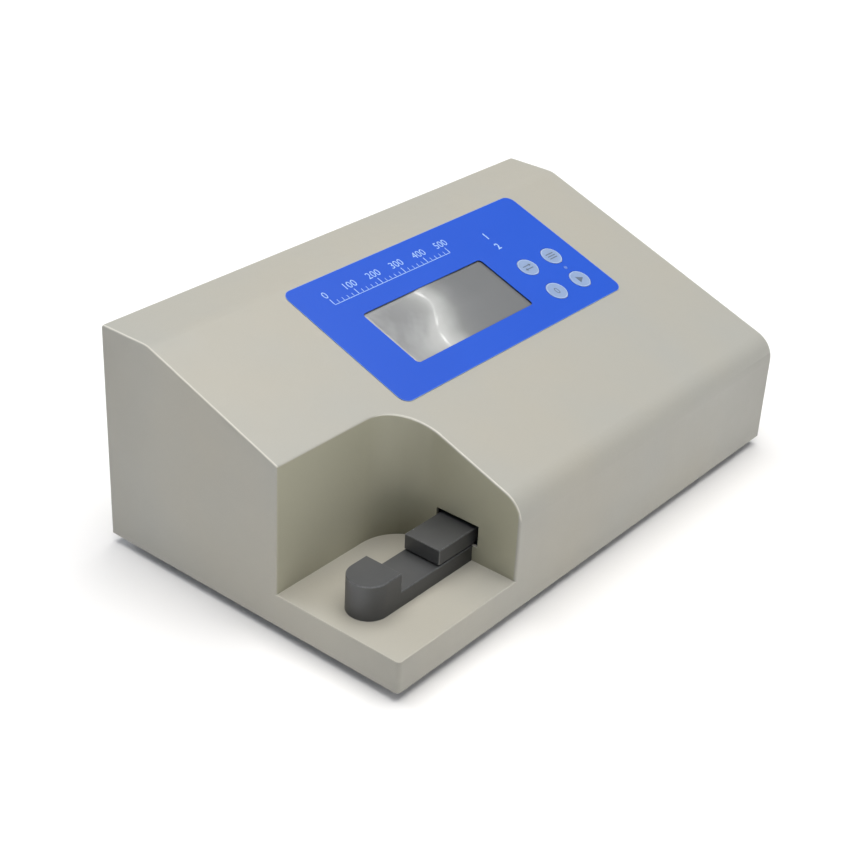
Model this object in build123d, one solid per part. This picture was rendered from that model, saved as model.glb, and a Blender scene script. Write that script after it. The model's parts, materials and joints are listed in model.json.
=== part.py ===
from build123d import *
import math
import os

os.makedirs("parts", exist_ok=True)

# ----------------------------------------------------------------------------
# Tablet hardness tester.  Millimetres, +Z up.
# Origin: middle of the footprint, on the surface that the feet stand on.
# +X runs along the long side (the test bay is at -X), -Y is the operator's side.
# ----------------------------------------------------------------------------

# housing
LENGTH = 350.0            # along X
X_LEFT = -LENGTH / 2
X_RIGHT = LENGTH / 2
Y_FRONT = -105.6          # front panel, outer face
Y_BACK = 101.6            # rear panel, outer face
Y_FITTINGS = 105.6        # outermost point of the rear fittings
FOOT_H = 6.0              # feet stand this far below the housing
Z_BOTTOM = FOOT_H
Z_FRONT = 70.9            # where front panel and slope would meet
Z_TOP = 133.7             # flat strip at the back of the top
Y_BREAK = 67.4            # where slope and flat strip would meet
WALL = 2.0
R_FRONT = 16.0            # bend between front panel and slope
R_BREAK = 16.0            # bend between slope and flat strip
R_REAR = 2.0              # bend between flat strip and rear panel
R_EDGE = 1.2              # small rounding of the welded edges
R_PLATFORM = 0.5          # crisper rounding along the platform's outer rim
R_CORNER = 2.5            # upright outer corner of the platform, ground round
SEAM = 2.0                # the bay liner ends this far outside the bay's walls

# test bay cut into the front left corner
BAY_X = -82.1             # right wall of the bay
BAY_Y = -23.9             # back wall of the bay
BAY_Z = 24.9              # platform
BAY_R = 27.0              # upright inner corner

# working line of the jaws
JAW_Y = -64.7
JAW_Z = 40.0
BAR_HALF = 11.85          # anvil bar half width and end radius
BAR_END_X = -151.1        # centre of its rounded end
BAR_STEP_Z = 34.4         # top of the low part
BAR_HEAD_Z = 45.6         # top of the raised head
BAR_FACE_X = -139.9       # anvil face
PLUNGER_FACE_X = -110.0
PLUNGER_HALF = 11.7
PLUNGER_Z0, PLUNGER_Z1 = 35.2, 44.4
PLUNGER_REAR_X = -44.0
HOLE_Y0, HOLE_Y1 = -79.6, -51.4
HOLE_Z0, HOLE_Z1 = 34.2, 47.3
TRAVEL_OUT = 28.5         # towards the anvil
TRAVEL_BACK = 11.0        # away from it

# lead screw drive
SCREW_D = 8.0
SCREW_LEAD = 2.0
RUN_FIT = 0.05            # radial clearance of running fits
SCREW_X0, SCREW_X1 = 7.0, 96.5
COUPLING_X0, COUPLING_X1 = 84.0, 110.0
MOTOR_X0, MOTOR_X1 = 118.0, 158.0
MOTOR_SQ = 42.3
FRAME_Z0, FRAME_Z1 = 8.0, 16.0
FRAME_Y0, FRAME_Y1 = -89.7, -39.7
RAIL_X0, RAIL_X1 = -40.0, 60.0
RAIL_W, RAIL_H = 12.0, 8.0
BLOCK_TOP_Z = 29.0

# membrane panel, in slope coordinates (u along X, v up the slope, w outward)
PANEL_U0, PANEL_U1 = -81.8, 121.6
PANEL_V0, PANEL_V1 = 83.8, 179.7
PANEL_R = 6.0
LAYER = 0.2               # circuit layer thickness
SKIN = 0.25               # printed layer thickness
WIN_U0, WIN_U1 = -51.3, 53.1
WIN_V0, WIN_V1 = 102.1, 145.6
WIN_R = 2.5
KEY_D = 13.7
KEY_T = 0.25
KEY_GAP = 0.35            # air between a key and the housing
KEY_TRAVEL = 0.3
KEY_CLEAR = 0.3
KEYS = {
    "key_upper_left": (77.1, 126.0),
    "key_upper_right": (100.75, 126.0),
    "key_lower_left": (77.1, 102.6),
    "key_lower_right": (100.75, 102.6),
}
LED_UV = (100.6, 114.2)
LED_D = 2.6

# rear fittings
INLET_X, INLET_Z = 138.0, 42.0
SWITCH_X, SWITCH_Z = 95.0, 42.0
SERIAL_X, SERIAL_Z = 20.0, 42.0
ROCKER_PIVOT_Y = 98.6
ROCKER_TILT = 7.0

SLOPE = math.atan2(Z_TOP - Z_FRONT, Y_BREAK - Y_FRONT)
SIN, COS, TAN = math.sin(SLOPE), math.cos(SLOPE), math.tan(SLOPE)
slope = Plane(origin=(0, Y_FRONT, Z_FRONT), x_dir=(1, 0, 0), z_dir=(0, -SIN, COS))

LOW = (Align.CENTER, Align.CENTER, Align.MIN)
nodes = {}


# ---------------------------------------------------------------- small helpers
def box(x0, x1, y0, y1, z0, z1):
    return Pos((x0 + x1) / 2, (y0 + y1) / 2, (z0 + z1) / 2) * Box(x1 - x0, y1 - y0, z1 - z0)


def cyl_x(x0, x1, y, z, r):
    return Pos(x0, y, z) * Rot(0, 90, 0) * Cylinder(r, x1 - x0, align=LOW)


def cyl_y(y0, y1, x, z, r):
    return Pos(x, y0, z) * Rot(-90, 0, 0) * Cylinder(r, y1 - y0, align=LOW)


def cyl_z(z0, z1, x, y, r):
    return Pos(x, y, z0) * Cylinder(r, z1 - z0, align=LOW)


def plate(u0, u1, v0, v1, w0, w1, r=0.0):
    """A flat plate in slope coordinates."""
    if r > 0:
        face = RectangleRounded(u1 - u0, v1 - v0, r)
    else:
        face = Rectangle(u1 - u0, v1 - v0)
    body = extrude(face, amount=w1 - w0)
    return slope.location * Pos((u0 + u1) / 2, (v0 + v1) / 2, w0) * body


def post(u, v, w0, w1, r):
    """A round post in slope coordinates."""
    return slope.location * Pos(u, v, w0) * Cylinder(r, w1 - w0, align=LOW)


def pan_screw(d, head_d, head_h, length):
    """Cross-recessed pan head screw, tip towards +Z, underside of the head at Z=0."""
    head = Pos(0, 0, -head_h) * Cylinder(head_d / 2, head_h, align=LOW)
    head = fillet(head.edges().group_by(Axis.Z)[0], head_h * 0.45)
    arm = head_d * 0.52
    slot_w = head_d * 0.13
    head -= Pos(0, 0, -head_h) * Box(arm, slot_w, head_h * 1.1)
    head -= Pos(0, 0, -head_h) * Box(slot_w, arm, head_h * 1.1)
    shank = Cylinder(d / 2, length, align=LOW)
    shank = chamfer(shank.edges().group_by(Axis.Z)[-1], d * 0.12)
    return head + shank


def cap_screw(d, head_d, head_h, length):
    """Socket head cap screw, tip towards +Z, underside of the head at Z=0."""
    head = Pos(0, 0, -head_h) * Cylinder(head_d / 2, head_h, align=LOW)
    head = chamfer(head.edges().group_by(Axis.Z)[0], head_d * 0.05)
    head -= Pos(0, 0, -head_h) * extrude(RegularPolygon(head_d * 0.29, 6), amount=head_h * 0.55)
    shank = Cylinder(d / 2, length, align=LOW)
    shank = chamfer(shank.edges().group_by(Axis.Z)[-1], d * 0.12)
    return head + shank


def hex_bar(across, length):
    return extrude(RegularPolygon(across / 2, 6, major_radius=False), amount=length)


def group(parts):
    out = []
    for p in parts:
        out.extend(p.solids())
    return Compound(out)


# ---------------------------------------------------------------- housing shell
def side_profile(t):
    """Closed outline of the housing seen from the side, shrunk by t, as (y, z)."""
    z_low = Z_BOTTOM if t == 0 else Z_BOTTOM - 5
    y_f, y_b, z_t = Y_FRONT + t, Y_BACK - t, Z_TOP - t
    base_y, base_z = Y_FRONT + t * SIN, Z_FRONT - t * COS
    z_f = base_z + (y_f - base_y) * TAN
    y_k = base_y + (z_t - base_z) / TAN
    return [(y_f, z_low), (y_f, z_f), (y_k, z_t), (y_b, z_t), (y_b, z_low)], (y_f, z_f), (y_k, z_t), (y_b, z_t)


def wedge(t, x0, x1):
    pts, front, brk, rear = side_profile(t)
    face = Plane.YZ * make_face(Polyline(*pts, close=True))
    solid = Pos(x0, 0, 0) * extrude(face, amount=x1 - x0, dir=(1, 0, 0))

    def along(yz):
        return [e for e in solid.edges().filter_by(Axis.X)
                if abs(e.center().Y - yz[0]) < 0.01 and abs(e.center().Z - yz[1]) < 0.01]

    for yz, r in ((front, R_FRONT - t), (brk, R_BREAK - t), (rear, max(R_REAR - t, 0.5))):
        solid = fillet(along(yz), r)
    return solid


def bay_cutter(t):
    """The test bay as a solid, grown by t."""
    cut = box(X_LEFT - 20, BAY_X + t, Y_FRONT - 20, BAY_Y + t, BAY_Z - t, Z_TOP + 20)
    corner = [e for e in cut.edges().filter_by(Axis.Z)
              if abs(e.center().X - (BAY_X + t)) < 0.01 and abs(e.center().Y - (BAY_Y + t)) < 0.01]
    return fillet(corner, BAY_R + t)


outer = wedge(0, X_LEFT, X_RIGHT) - bay_cutter(0)


def keep_edge(e):
    """Welded outer edges and the rim of the bay get a small rounding."""
    bb = e.bounding_box()
    if bb.max.Z < Z_BOTTOM + 0.01:
        return False                                   # open lower rim
    on_left = bb.max.X < X_LEFT + 0.01
    on_right = bb.min.X > X_RIGHT - 0.01
    in_bay_x = bb.max.X < BAY_X + 0.01
    in_bay_y = bb.max.Y < BAY_Y + 0.01
    if on_right:
        return True
    if on_left:
        return True
    if in_bay_x and in_bay_y:
        upright_inner = bb.size.X < 0.01 and bb.size.Y < 0.01 and bb.max.Y > Y_FRONT + 1
        floor_inner = bb.max.Z < BAY_Z + 0.01 and bb.min.Y > Y_FRONT + 0.01
        floor_wall = bb.max.Z < BAY_Z + 0.01 and abs(bb.max.X - BAY_X) < 0.01 and bb.size.Y > 1
        return not (upright_inner or floor_inner or floor_wall)
    return False


def platform_edge(e):
    bb = e.bounding_box()
    return bb.max.Z < BAY_Z + 0.01 and bb.max.X < BAY_X + 0.01


upper_rim = [e for e in outer.edges() if keep_edge(e) and not platform_edge(e)]
outer = fillet(upper_rim, R_EDGE)
lower_rim = [e for e in outer.edges() if keep_edge(e) and platform_edge(e)]
outer = fillet(lower_rim, R_PLATFORM)
print("rounded edges:", len(upper_rim), len(lower_rim), "valid:", outer.is_valid)

inner = wedge(WALL, X_LEFT + WALL, X_RIGHT - WALL) - bay_cutter(WALL)
cover = outer - inner

# threaded blocks welded to the inside of the walls, for the screws that hold the base plate
LUG = 10.0
LUG_Z0, LUG_Z1 = 8.0, 16.0
lugs = [
    (-120.0, Y_FRONT + WALL + LUG / 2), (40.0, Y_FRONT + WALL + LUG / 2), (120.0, Y_FRONT + WALL + LUG / 2),
    (-120.0, Y_BACK - WALL - LUG / 2), (0.0, Y_BACK - WALL - LUG / 2), (120.0, Y_BACK - WALL - LUG / 2),
    (X_LEFT + WALL + LUG / 2, 20.0), (X_RIGHT - WALL - LUG / 2, 75.0),
]
nodes["fixing_blocks"] = group([
    box(lx - LUG / 2, lx + LUG / 2, ly - LUG / 2, ly + LUG / 2, LUG_Z0, LUG_Z1)
    - cyl_z(LUG_Z0 - 1, LUG_Z0 + 6.5, lx, ly, 2.05) for lx, ly in lugs])

# openings in the shell
CUT = 1.5
cover -= plate(WIN_U0 - CUT, WIN_U1 + CUT, WIN_V0 - CUT, WIN_V1 + CUT, -WALL - 1, 1, 3.0)
TAIL_U0, TAIL_U1, TAIL_V = 84.0, 100.0, 93.2
cover -= plate(TAIL_U0 - 0.5, TAIL_U1 + 0.5, TAIL_V - 0.8, TAIL_V + 0.8, -WALL - 1, 1)
cover -= box(BAY_X - 5, BAY_X + WALL + 1, HOLE_Y0, HOLE_Y1, HOLE_Z0, HOLE_Z1)
ANVIL_SCREWS = [(BAR_END_X, JAW_Y), (-98.0, JAW_Y)]
for ax, ay in ANVIL_SCREWS:
    cover -= cyl_z(BAY_Z - WALL - 1, BAY_Z + 1, ax, ay, 2.6)
cover -= box(INLET_X - 13.8, INLET_X + 13.8, Y_BACK - WALL - 1, Y_BACK + 1, INLET_Z - 15.8, INLET_Z + 15.8)
INLET_SCREWS = [(INLET_X - 20.0, INLET_Z), (INLET_X + 20.0, INLET_Z)]
for ix, iz in INLET_SCREWS:
    cover -= cyl_y(Y_BACK - WALL - 1, Y_BACK + 1, ix, iz, 1.6)
cover -= box(SWITCH_X - 7.6, SWITCH_X + 7.6, Y_BACK - WALL - 1, Y_BACK + 1, SWITCH_Z - 10.3, SWITCH_Z + 10.3)
cover -= box(SERIAL_X - 9.25, SERIAL_X + 9.25, Y_BACK - WALL - 1, Y_BACK + 1, SERIAL_Z - 4.95, SERIAL_Z + 4.95)
SERIAL_POSTS = [(SERIAL_X - 12.5, SERIAL_Z), (SERIAL_X + 12.5, SERIAL_Z)]
for sx, sz in SERIAL_POSTS:
    cover -= cyl_y(Y_BACK - WALL - 1, Y_BACK + 1, sx, sz, 1.6)

# the bay's walls and platform are an insert, welded into the cover's corner and ground flush
corner_block = box(X_LEFT - 5, BAY_X + SEAM, Y_FRONT - 5, BAY_Y + SEAM, Z_BOTTOM - 5, Z_TOP + 5)
liner = cover & corner_block
cover = cover - corner_block
print("liner solids:", len(liner.solids()), "cover solids:", len(cover.solids()))
corner_x, corner_y = X_LEFT + R_CORNER, Y_FRONT + R_CORNER
corner_post = cyl_z(Z_BOTTOM - 1, BAY_Z, corner_x, corner_y, R_CORNER)
corner_post = fillet(corner_post.edges().group_by(Axis.Z)[-1], R_PLATFORM)
liner -= box(X_LEFT - 1, corner_x, Y_FRONT - 1, corner_y, Z_BOTTOM - 2, BAY_Z + 1) - corner_post
print("liner after corner:", len(liner.solids()), liner.is_valid)
nodes["bay_liner"] = liner
nodes["cover_shell"] = cover

# ---------------------------------------------------------------- base, feet
FEET = [(-150.0, -85.0), (150.0, -85.0), (-150.0, 82.0), (150.0, 82.0)]
FRAME_SCREWS = [(-120.0, -50.0), (-30.0, -84.0), (64.0, -84.0), (160.0, -50.0)]
PSU_X0, PSU_X1, PSU_Y0, PSU_Y1, PSU_Z0, PSU_Z1 = 112.0, 168.0, -30.0, 65.0, 8.0, 43.0
PSU_SCREWS = [(118.0, -22.0), (162.0, -22.0), (118.0, 57.0), (162.0, 57.0)]
PCB_X0, PCB_X1, PCB_Y0, PCB_Y1, PCB_Z = -60.0, 105.0, -5.0, 85.0, 16.0
PCB_T = 1.6
PCB_SCREWS = [(-55.0, 0.0), (100.0, 0.0), (-55.0, 80.0), (100.0, 80.0)]

base = box(X_LEFT + WALL + 0.3, X_RIGHT - WALL - 0.3, Y_FRONT + WALL + 0.3, Y_BACK - WALL - 0.3, Z_BOTTOM, Z_BOTTOM + 2)
for fx, fy in FEET:
    if fy > 0:
        base += cyl_z(Z_BOTTOM + 1, 12.5, fx, fy, 6.0)
for fx, fy in FEET:
    base -= cyl_z(Z_BOTTOM - 1, 14, fx, fy, 2.05)
for lx, ly in lugs:
    base -= cyl_z(Z_BOTTOM - 1, 9, lx, ly, 2.1)
for sx, sy in FRAME_SCREWS:
    base -= cyl_z(Z_BOTTOM - 1, 9, sx, sy, 2.1)
for sx, sy in PSU_SCREWS:
    base -= cyl_z(Z_BOTTOM - 1, 9, sx, sy, 1.6)
for vx in (125.0, 132.5, 140.0, 147.5, 155.0):
    base -= box(vx - 1.5, vx + 1.5, -6.0, 42.0, Z_BOTTOM - 1, 9)
nodes["base_plate"] = base

feet = []
for fx, fy in FEET:
    f = Pos(fx, fy, 0) * Cone(bottom_radius=9.0, top_radius=10.5, height=FOOT_H, align=LOW)
    f = fillet(f.edges().group_by(Axis.Z)[0], 0.8)
    f -= cyl_z(-1, 3.0, fx, fy, 4.6)
    f -= cyl_z(2, 7, fx, fy, 2.1)
    feet.append(f)
nodes["rubber_feet"] = group(feet)

nodes["foot_screws"] = group([Pos(fx, fy, 3.0) * pan_screw(4.0, 7.6, 2.3, 8.8) for fx, fy in FEET])
nodes["base_screws"] = group([Pos(sx, sy, Z_BOTTOM) * pan_screw(4.0, 7.0, 2.2, 8.0) for sx, sy in lugs + FRAME_SCREWS])
nodes["psu_screws"] = group([Pos(sx, sy, Z_BOTTOM) * pan_screw(3.0, 5.6, 1.8, 5.0) for sx, sy in PSU_SCREWS])

# ---------------------------------------------------------------- anvil and frame
bar = box(BAR_END_X, BAY_X, JAW_Y - BAR_HALF, JAW_Y + BAR_HALF, BAY_Z, BAR_STEP_Z)
bar += cyl_z(BAY_Z, BAR_STEP_Z, BAR_END_X, JAW_Y, BAR_HALF)
head = cyl_z(BAY_Z, BAR_HEAD_Z, BAR_END_X, JAW_Y, BAR_HALF)
head += box(BAR_END_X, BAR_FACE_X, JAW_Y - BAR_HALF, JAW_Y + BAR_HALF, BAY_Z, BAR_HEAD_Z)
head -= box(BAR_FACE_X, BAR_FACE_X + 10, JAW_Y - 20, JAW_Y + 20, BAR_STEP_Z, BAR_HEAD_Z + 1)   # flat jaw face
bar += head
top_edges = [e for e in bar.edges()
             if abs(e.bounding_box().min.Z - BAR_HEAD_Z) < 0.01
             or (abs(e.bounding_box().min.Z - BAR_STEP_Z) < 0.01
                 and abs(e.bounding_box().max.Z - BAR_STEP_Z) < 0.01
                 and e.bounding_box().size.X > 20)]
try:
    bar = chamfer(top_edges, 0.35)
except Exception as err:
    print("anvil chamfer skipped", str(err)[:60])
for ax, ay in ANVIL_SCREWS:
    bar -= cyl_z(BAY_Z - 1, BAY_Z + 8.5, ax, ay, 2.55)
nodes["anvil_bar"] = bar

frame_part = box(-165.0, 168.0, FRAME_Y0, FRAME_Y1, FRAME_Z0, FRAME_Z1)
frame_part += box(-165.0, -88.0, JAW_Y - 19, JAW_Y + 19, FRAME_Z1 - 1, BAY_Z - WALL)
for ax, ay in ANVIL_SCREWS:
    frame_part -= cyl_z(FRAME_Z0 - 1, 13.5, ax, ay, 5.0)
    frame_part -= cyl_z(FRAME_Z0 - 1, BAY_Z, ax, ay, 2.6)
for fx, fy in FEET:
    if fy < 0:
        frame_part -= cyl_z(FRAME_Z0 - 1, 12.5, fx, fy, 2.05)
for sx, sy in FRAME_SCREWS:
    frame_part -= cyl_z(FRAME_Z0 - 1, 14.5, sx, sy, 2.05)
RAIL_SCREWS = [-32.5, -7.5, 17.5, 42.5]
for rx in RAIL_SCREWS:
    frame_part -= cyl_z(10, FRAME_Z1 + 1, rx, JAW_Y, 1.55)
BLOCK_SCREWS = [(83.0, JAW_Y - 15), (83.0, JAW_Y + 15), (98.0, JAW_Y - 18), (98.0, JAW_Y + 18)]
for sx, sy in BLOCK_SCREWS:
    frame_part -= cyl_z(9.5, FRAME_Z1 + 1, sx, sy, 2.05)
frame_part -= box(-70.0, -50.0, JAW_Y - 12, JAW_Y + 12, FRAME_Z0 - 1, FRAME_Z1 + 1)
nodes["drive_frame"] = frame_part

nodes["anvil_screws"] = group([Pos(ax, ay, 13.5) * cap_screw(5.0, 8.5, 5.0, 19.0) for ax, ay in ANVIL_SCREWS])

rail = box(RAIL_X0, RAIL_X1, JAW_Y - RAIL_W / 2, JAW_Y + RAIL_W / 2, FRAME_Z1, FRAME_Z1 + RAIL_H)
for side in (-1, 1):
    rail -= box(RAIL_X0 - 1, RAIL_X1 + 1, JAW_Y + side * (RAIL_W / 2) - 1.0, JAW_Y + side * (RAIL_W / 2) + 1.0, 19.0, 21.0)
for rx in RAIL_SCREWS:
    rail -= cyl_z(19.5, 25, rx, JAW_Y, 3.0)
    rail -= cyl_z(15, 25, rx, JAW_Y, 1.6)
nodes["guide_rail"] = rail
nodes["rail_screws"] = group([Pos(rx, JAW_Y, 19.5) * Rot(180, 0, 0) * cap_screw(3.0, 5.5, 3.0, 9.0) for rx in RAIL_SCREWS])

# ---------------------------------------------------------------- moving plunger
plunger = box(PLUNGER_FACE_X, PLUNGER_REAR_X, JAW_Y - PLUNGER_HALF, JAW_Y + PLUNGER_HALF, PLUNGER_Z0, PLUNGER_Z1)
plunger = chamfer(plunger.edges(), 0.35)
plunger -= cyl_x(PLUNGER_REAR_X - 9, PLUNGER_REAR_X + 1, JAW_Y, JAW_Z, 2.55)
nodes["plunger"] = plunger

CELL_X0, CELL_X1 = PLUNGER_REAR_X, -14.0
cell = box(CELL_X0, CELL_X1, JAW_Y - 10, JAW_Y + 10, 26.5, 53.5)
cell -= box(CELL_X0 + 7, CELL_X0 + 9, JAW_Y - 11, JAW_Y + 11, 33.0, 54.0)
cell -= box(CELL_X1 - 9, CELL_X1 - 7, JAW_Y - 11, JAW_Y + 11, 26.0, 47.0)
cell -= cyl_y(JAW_Y - 11, JAW_Y + 11, (CELL_X0 + CELL_X1) / 2, JAW_Z, 4.5)
cell -= cyl_x(CELL_X0 - 1, CELL_X0 + 6.2, JAW_Y, JAW_Z, 2.55)
cell -= cyl_x(CELL_X1 - 6.2, CELL_X1 + 1, JAW_Y, JAW_Z, 2.55)
nodes["load_cell"] = cell

CAR_X0, CAR_X1 = -14.0, 44.0
carriage = box(CAR_X0, CAR_X1, JAW_Y - 14, JAW_Y + 14, BLOCK_TOP_Z, 33.0)
carriage += box(CAR_X0, CAR_X0 + 8, JAW_Y - 14, JAW_Y + 14, 32.0, 56.0)
carriage += box(CAR_X1 - 8, CAR_X1, JAW_Y - 14, JAW_Y + 14, 32.0, 56.0)
carriage += box(CAR_X0 + 20, CAR_X0 + 24, JAW_Y + 13, JAW_Y + 21, 30.0, 33.0)      # flag for the limit switches
carriage -= cyl_x(CAR_X0 - 1, CAR_X0 + 9, JAW_Y, JAW_Z, 2.6)
carriage -= cyl_x(CAR_X0 + 3, CAR_X0 + 9, JAW_Y, JAW_Z, 4.6)
carriage -= cyl_x(CAR_X1 - 13, CAR_X1 + 1, JAW_Y, JAW_Z, 8.0)
CAR_SCREWS = [(8.7, JAW_Y - 10), (8.7, JAW_Y + 10), (28.7, JAW_Y - 10), (28.7, JAW_Y + 10)]
for sx, sy in CAR_SCREWS:
    carriage -= cyl_z(BLOCK_TOP_Z - 1, 34, sx, sy, 1.6)
nodes["plunger_carriage"] = carriage
nodes["carriage_screws"] = group([Pos(sx, sy, 33.0) * Rot(180, 0, 0) * cap_screw(3.0, 5.5, 2.4, 6.5) for sx, sy in CAR_SCREWS])

block = box(-4.0, 41.4, JAW_Y - 13.5, JAW_Y + 13.5, 19.0, BLOCK_TOP_Z)
block -= box(-5.0, 42.4, JAW_Y - RAIL_W / 2 - 0.3, JAW_Y + RAIL_W / 2 + 0.3, 18.0, FRAME_Z1 + RAIL_H + 0.3)
for sx, sy in CAR_SCREWS:
    block -= cyl_z(26.2, BLOCK_TOP_Z + 1, sx, sy, 1.55)
nodes["rail_block"] = block

stud = cyl_x(PLUNGER_REAR_X - 8.5, CELL_X0 + 6.0, JAW_Y, JAW_Z, 2.5)
capx = Pos(CAR_X0 + 3, JAW_Y, JAW_Z) * Rot(0, -90, 0) * cap_screw(5.0, 8.5, 4.6, 8.8)
nodes["cell_fasteners"] = group([stud, capx])

nut = cyl_x(CAR_X1 - 12.0, CAR_X1, JAW_Y, JAW_Z, 7.95) + cyl_x(CAR_X1, CAR_X1 + 4, JAW_Y, JAW_Z, 11.0)
nut -= cyl_x(CAR_X1 - 13.0, CAR_X1 + 5, JAW_Y, JAW_Z, SCREW_D / 2 + RUN_FIT)
nodes["lead_nut"] = nut

# ---------------------------------------------------------------- turning parts
screw = cyl_x(SCREW_X0, SCREW_X1, JAW_Y, JAW_Z, SCREW_D / 2)
screw = chamfer([e for e in screw.edges() if e.geom_type == GeomType.CIRCLE], 0.8)
nodes["lead_screw"] = screw
BRG_X0, BRG_X1 = 66.0, 73.0
collars = []
for cx0, cx1 in ((59.5, BRG_X0 - 0.3), (78.3, 83.0)):
    c = cyl_x(cx0, cx1, JAW_Y, JAW_Z, 7.0) - cyl_x(cx0 - 1, cx1 + 1, JAW_Y, JAW_Z, SCREW_D / 2)
    collars.append(c)
nodes["thrust_collars"] = group(collars)
coupling = cyl_x(COUPLING_X0, COUPLING_X1, JAW_Y, JAW_Z, 9.5)
coupling = chamfer([e for e in coupling.edges() if e.geom_type == GeomType.CIRCLE], 0.6)
coupling -= cyl_x(COUPLING_X0 - 1, 97.0, JAW_Y, JAW_Z, SCREW_D / 2)
coupling -= cyl_x(97.0, COUPLING_X1 + 1, JAW_Y, JAW_Z, 2.5)
for gx in (90.0, 104.0):
    coupling -= cyl_z(JAW_Z + 6.0, JAW_Z + 12, gx, JAW_Y, 1.5)
for cx in (95.0, 97.0, 99.0):
    ring = cyl_x(cx - 0.4, cx + 0.4, JAW_Y, JAW_Z, 10.5) - cyl_x(cx - 1, cx + 1, JAW_Y, JAW_Z, 8.2)
    coupling -= ring
nodes["shaft_coupling"] = coupling
shaft = cyl_x(97.5, 150.0, JAW_Y, JAW_Z, 2.5)
nodes["motor_shaft"] = shaft

# ---------------------------------------------------------------- fixed drive parts
bblock = box(66.0, 78.0, JAW_Y - 20, JAW_Y + 20, FRAME_Z1, 58.0)
bblock += box(77.0, 88.0, JAW_Y - 20, JAW_Y + 20, FRAME_Z1, 21.0)
bblock = chamfer([e for e in bblock.edges().filter_by(Axis.X) if e.center().Z > 57], 4.0)
bblock -= cyl_x(65.0, BRG_X1, JAW_Y, JAW_Z, 11.0)
bblock -= cyl_x(65.0, 79.0, JAW_Y, JAW_Z, 8.0)
for sx, sy in BLOCK_SCREWS[:2]:
    bblock -= cyl_z(15, 22, sx, sy, 2.1)
nodes["bearing_block"] = bblock
bearing = cyl_x(BRG_X0, BRG_X1, JAW_Y, JAW_Z, 11.0) - cyl_x(60, 80, JAW_Y, JAW_Z, SCREW_D / 2 + RUN_FIT)
nodes["screw_bearing"] = bearing

bracket = box(114.0, MOTOR_X0, JAW_Y - 25, JAW_Y + 25, FRAME_Z1, 64.0)
bracket += box(92.0, 115.0, JAW_Y - 25, JAW_Y + 25, FRAME_Z1, 20.0)
bracket -= cyl_x(113.0, 119.0, JAW_Y, JAW_Z, 11.1)
MOTOR_HOLES = [(JAW_Y + a * 15.5, JAW_Z + b * 15.5) for a in (-1, 1) for b in (-1, 1)]
for my, mz in MOTOR_HOLES:
    bracket -= cyl_x(113.0, 119.0, my, mz, 1.6)
for sx, sy in BLOCK_SCREWS[2:]:
    bracket -= cyl_z(15, 22, sx, sy, 2.1)
nodes["motor_bracket"] = bracket
nodes["block_screws"] = group(
    [Pos(sx, sy, 21.0) * Rot(180, 0, 0) * cap_screw(4.0, 7.0, 4.0, 11.0) for sx, sy in BLOCK_SCREWS[:2]]
    + [Pos(sx, sy, 20.0) * Rot(180, 0, 0) * cap_screw(4.0, 7.0, 4.0, 10.0) for sx, sy in BLOCK_SCREWS[2:]])

motor = box(MOTOR_X0, MOTOR_X1, JAW_Y - MOTOR_SQ / 2, JAW_Y + MOTOR_SQ / 2, JAW_Z - MOTOR_SQ / 2, JAW_Z + MOTOR_SQ / 2)
motor = chamfer(motor.edges().filter_by(Axis.X), 4.0)
motor += cyl_x(MOTOR_X0 - 2, MOTOR_X0 + 1, JAW_Y, JAW_Z, 11.0)
motor -= cyl_x(MOTOR_X0 - 5, 150.5, JAW_Y, JAW_Z, 2.5 + RUN_FIT)
for my, mz in MOTOR_HOLES:
    motor -= cyl_x(MOTOR_X0 - 1, MOTOR_X0 + 5, my, mz, 1.55)
for gx in (126.0, 150.0):
    lam = box(gx - 0.3, gx + 0.3, JAW_Y - 30, JAW_Y + 30, JAW_Z - 30, JAW_Z + 30)
    lam -= box(gx - 1, gx + 1, JAW_Y - 20.4, JAW_Y + 20.4, JAW_Z - 20.4, JAW_Z + 20.4)
    motor -= lam
nodes["stepper_motor"] = motor
nodes["motor_screws"] = group([Pos(114.0, my, mz) * Rot(0, 90, 0) * cap_screw(3.0, 5.5, 3.0, 8.5) for my, mz in MOTOR_HOLES])

lb_y0 = FRAME_Y1 - 2.0
limit = box(-40.0, 40.0, lb_y0, FRAME_Y1, FRAME_Z1, 30.0) + box(-40.0, 40.0, FRAME_Y1 - 4.5, FRAME_Y1, FRAME_Z1, 17.5)
nodes["limit_bracket"] = limit
switches = []
for sx in (-24.5, 19.0):
    s = box(sx - 6.5, sx + 6.5, lb_y0 - 5.8, lb_y0, 19.0, 26.0)
    lever = box(sx - 5.5, sx + 5.5, lb_y0 - 4.5, lb_y0 - 1.5, 27.4, 27.8) + box(sx - 5.5, sx - 4.9, lb_y0 - 4.5, lb_y0 - 1.5, 25.5, 27.6)
    switches.append(s + lever)
nodes["limit_switches"] = group(switches)

# ---------------------------------------------------------------- membrane panel
circuit = plate(PANEL_U0, PANEL_U1, PANEL_V0, PANEL_V1, 0, LAYER, PANEL_R)
circuit -= plate(WIN_U0 - 0.5, WIN_U1 + 0.5, WIN_V0 - 0.5, WIN_V1 + 0.5, -1, 1, WIN_R + 0.5)
for ku, kv in KEYS.values():
    circuit -= post(ku, kv, -1, 2, KEY_D / 2 + KEY_CLEAR)
nodes["membrane_circuit"] = circuit

overlay = plate(PANEL_U0, PANEL_U1, PANEL_V0, PANEL_V1, LAYER, LAYER + SKIN, PANEL_R)
overlay -= plate(WIN_U0, WIN_U1, WIN_V0, WIN_V1, -1, 2, WIN_R)
for ku, kv in KEYS.values():
    overlay -= post(ku, kv, -1, 2, KEY_D / 2 + KEY_CLEAR)
overlay -= post(LED_UV[0], LED_UV[1], -1, 2, LED_D / 2 + 0.05)
nodes["membrane_overlay"] = overlay

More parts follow.
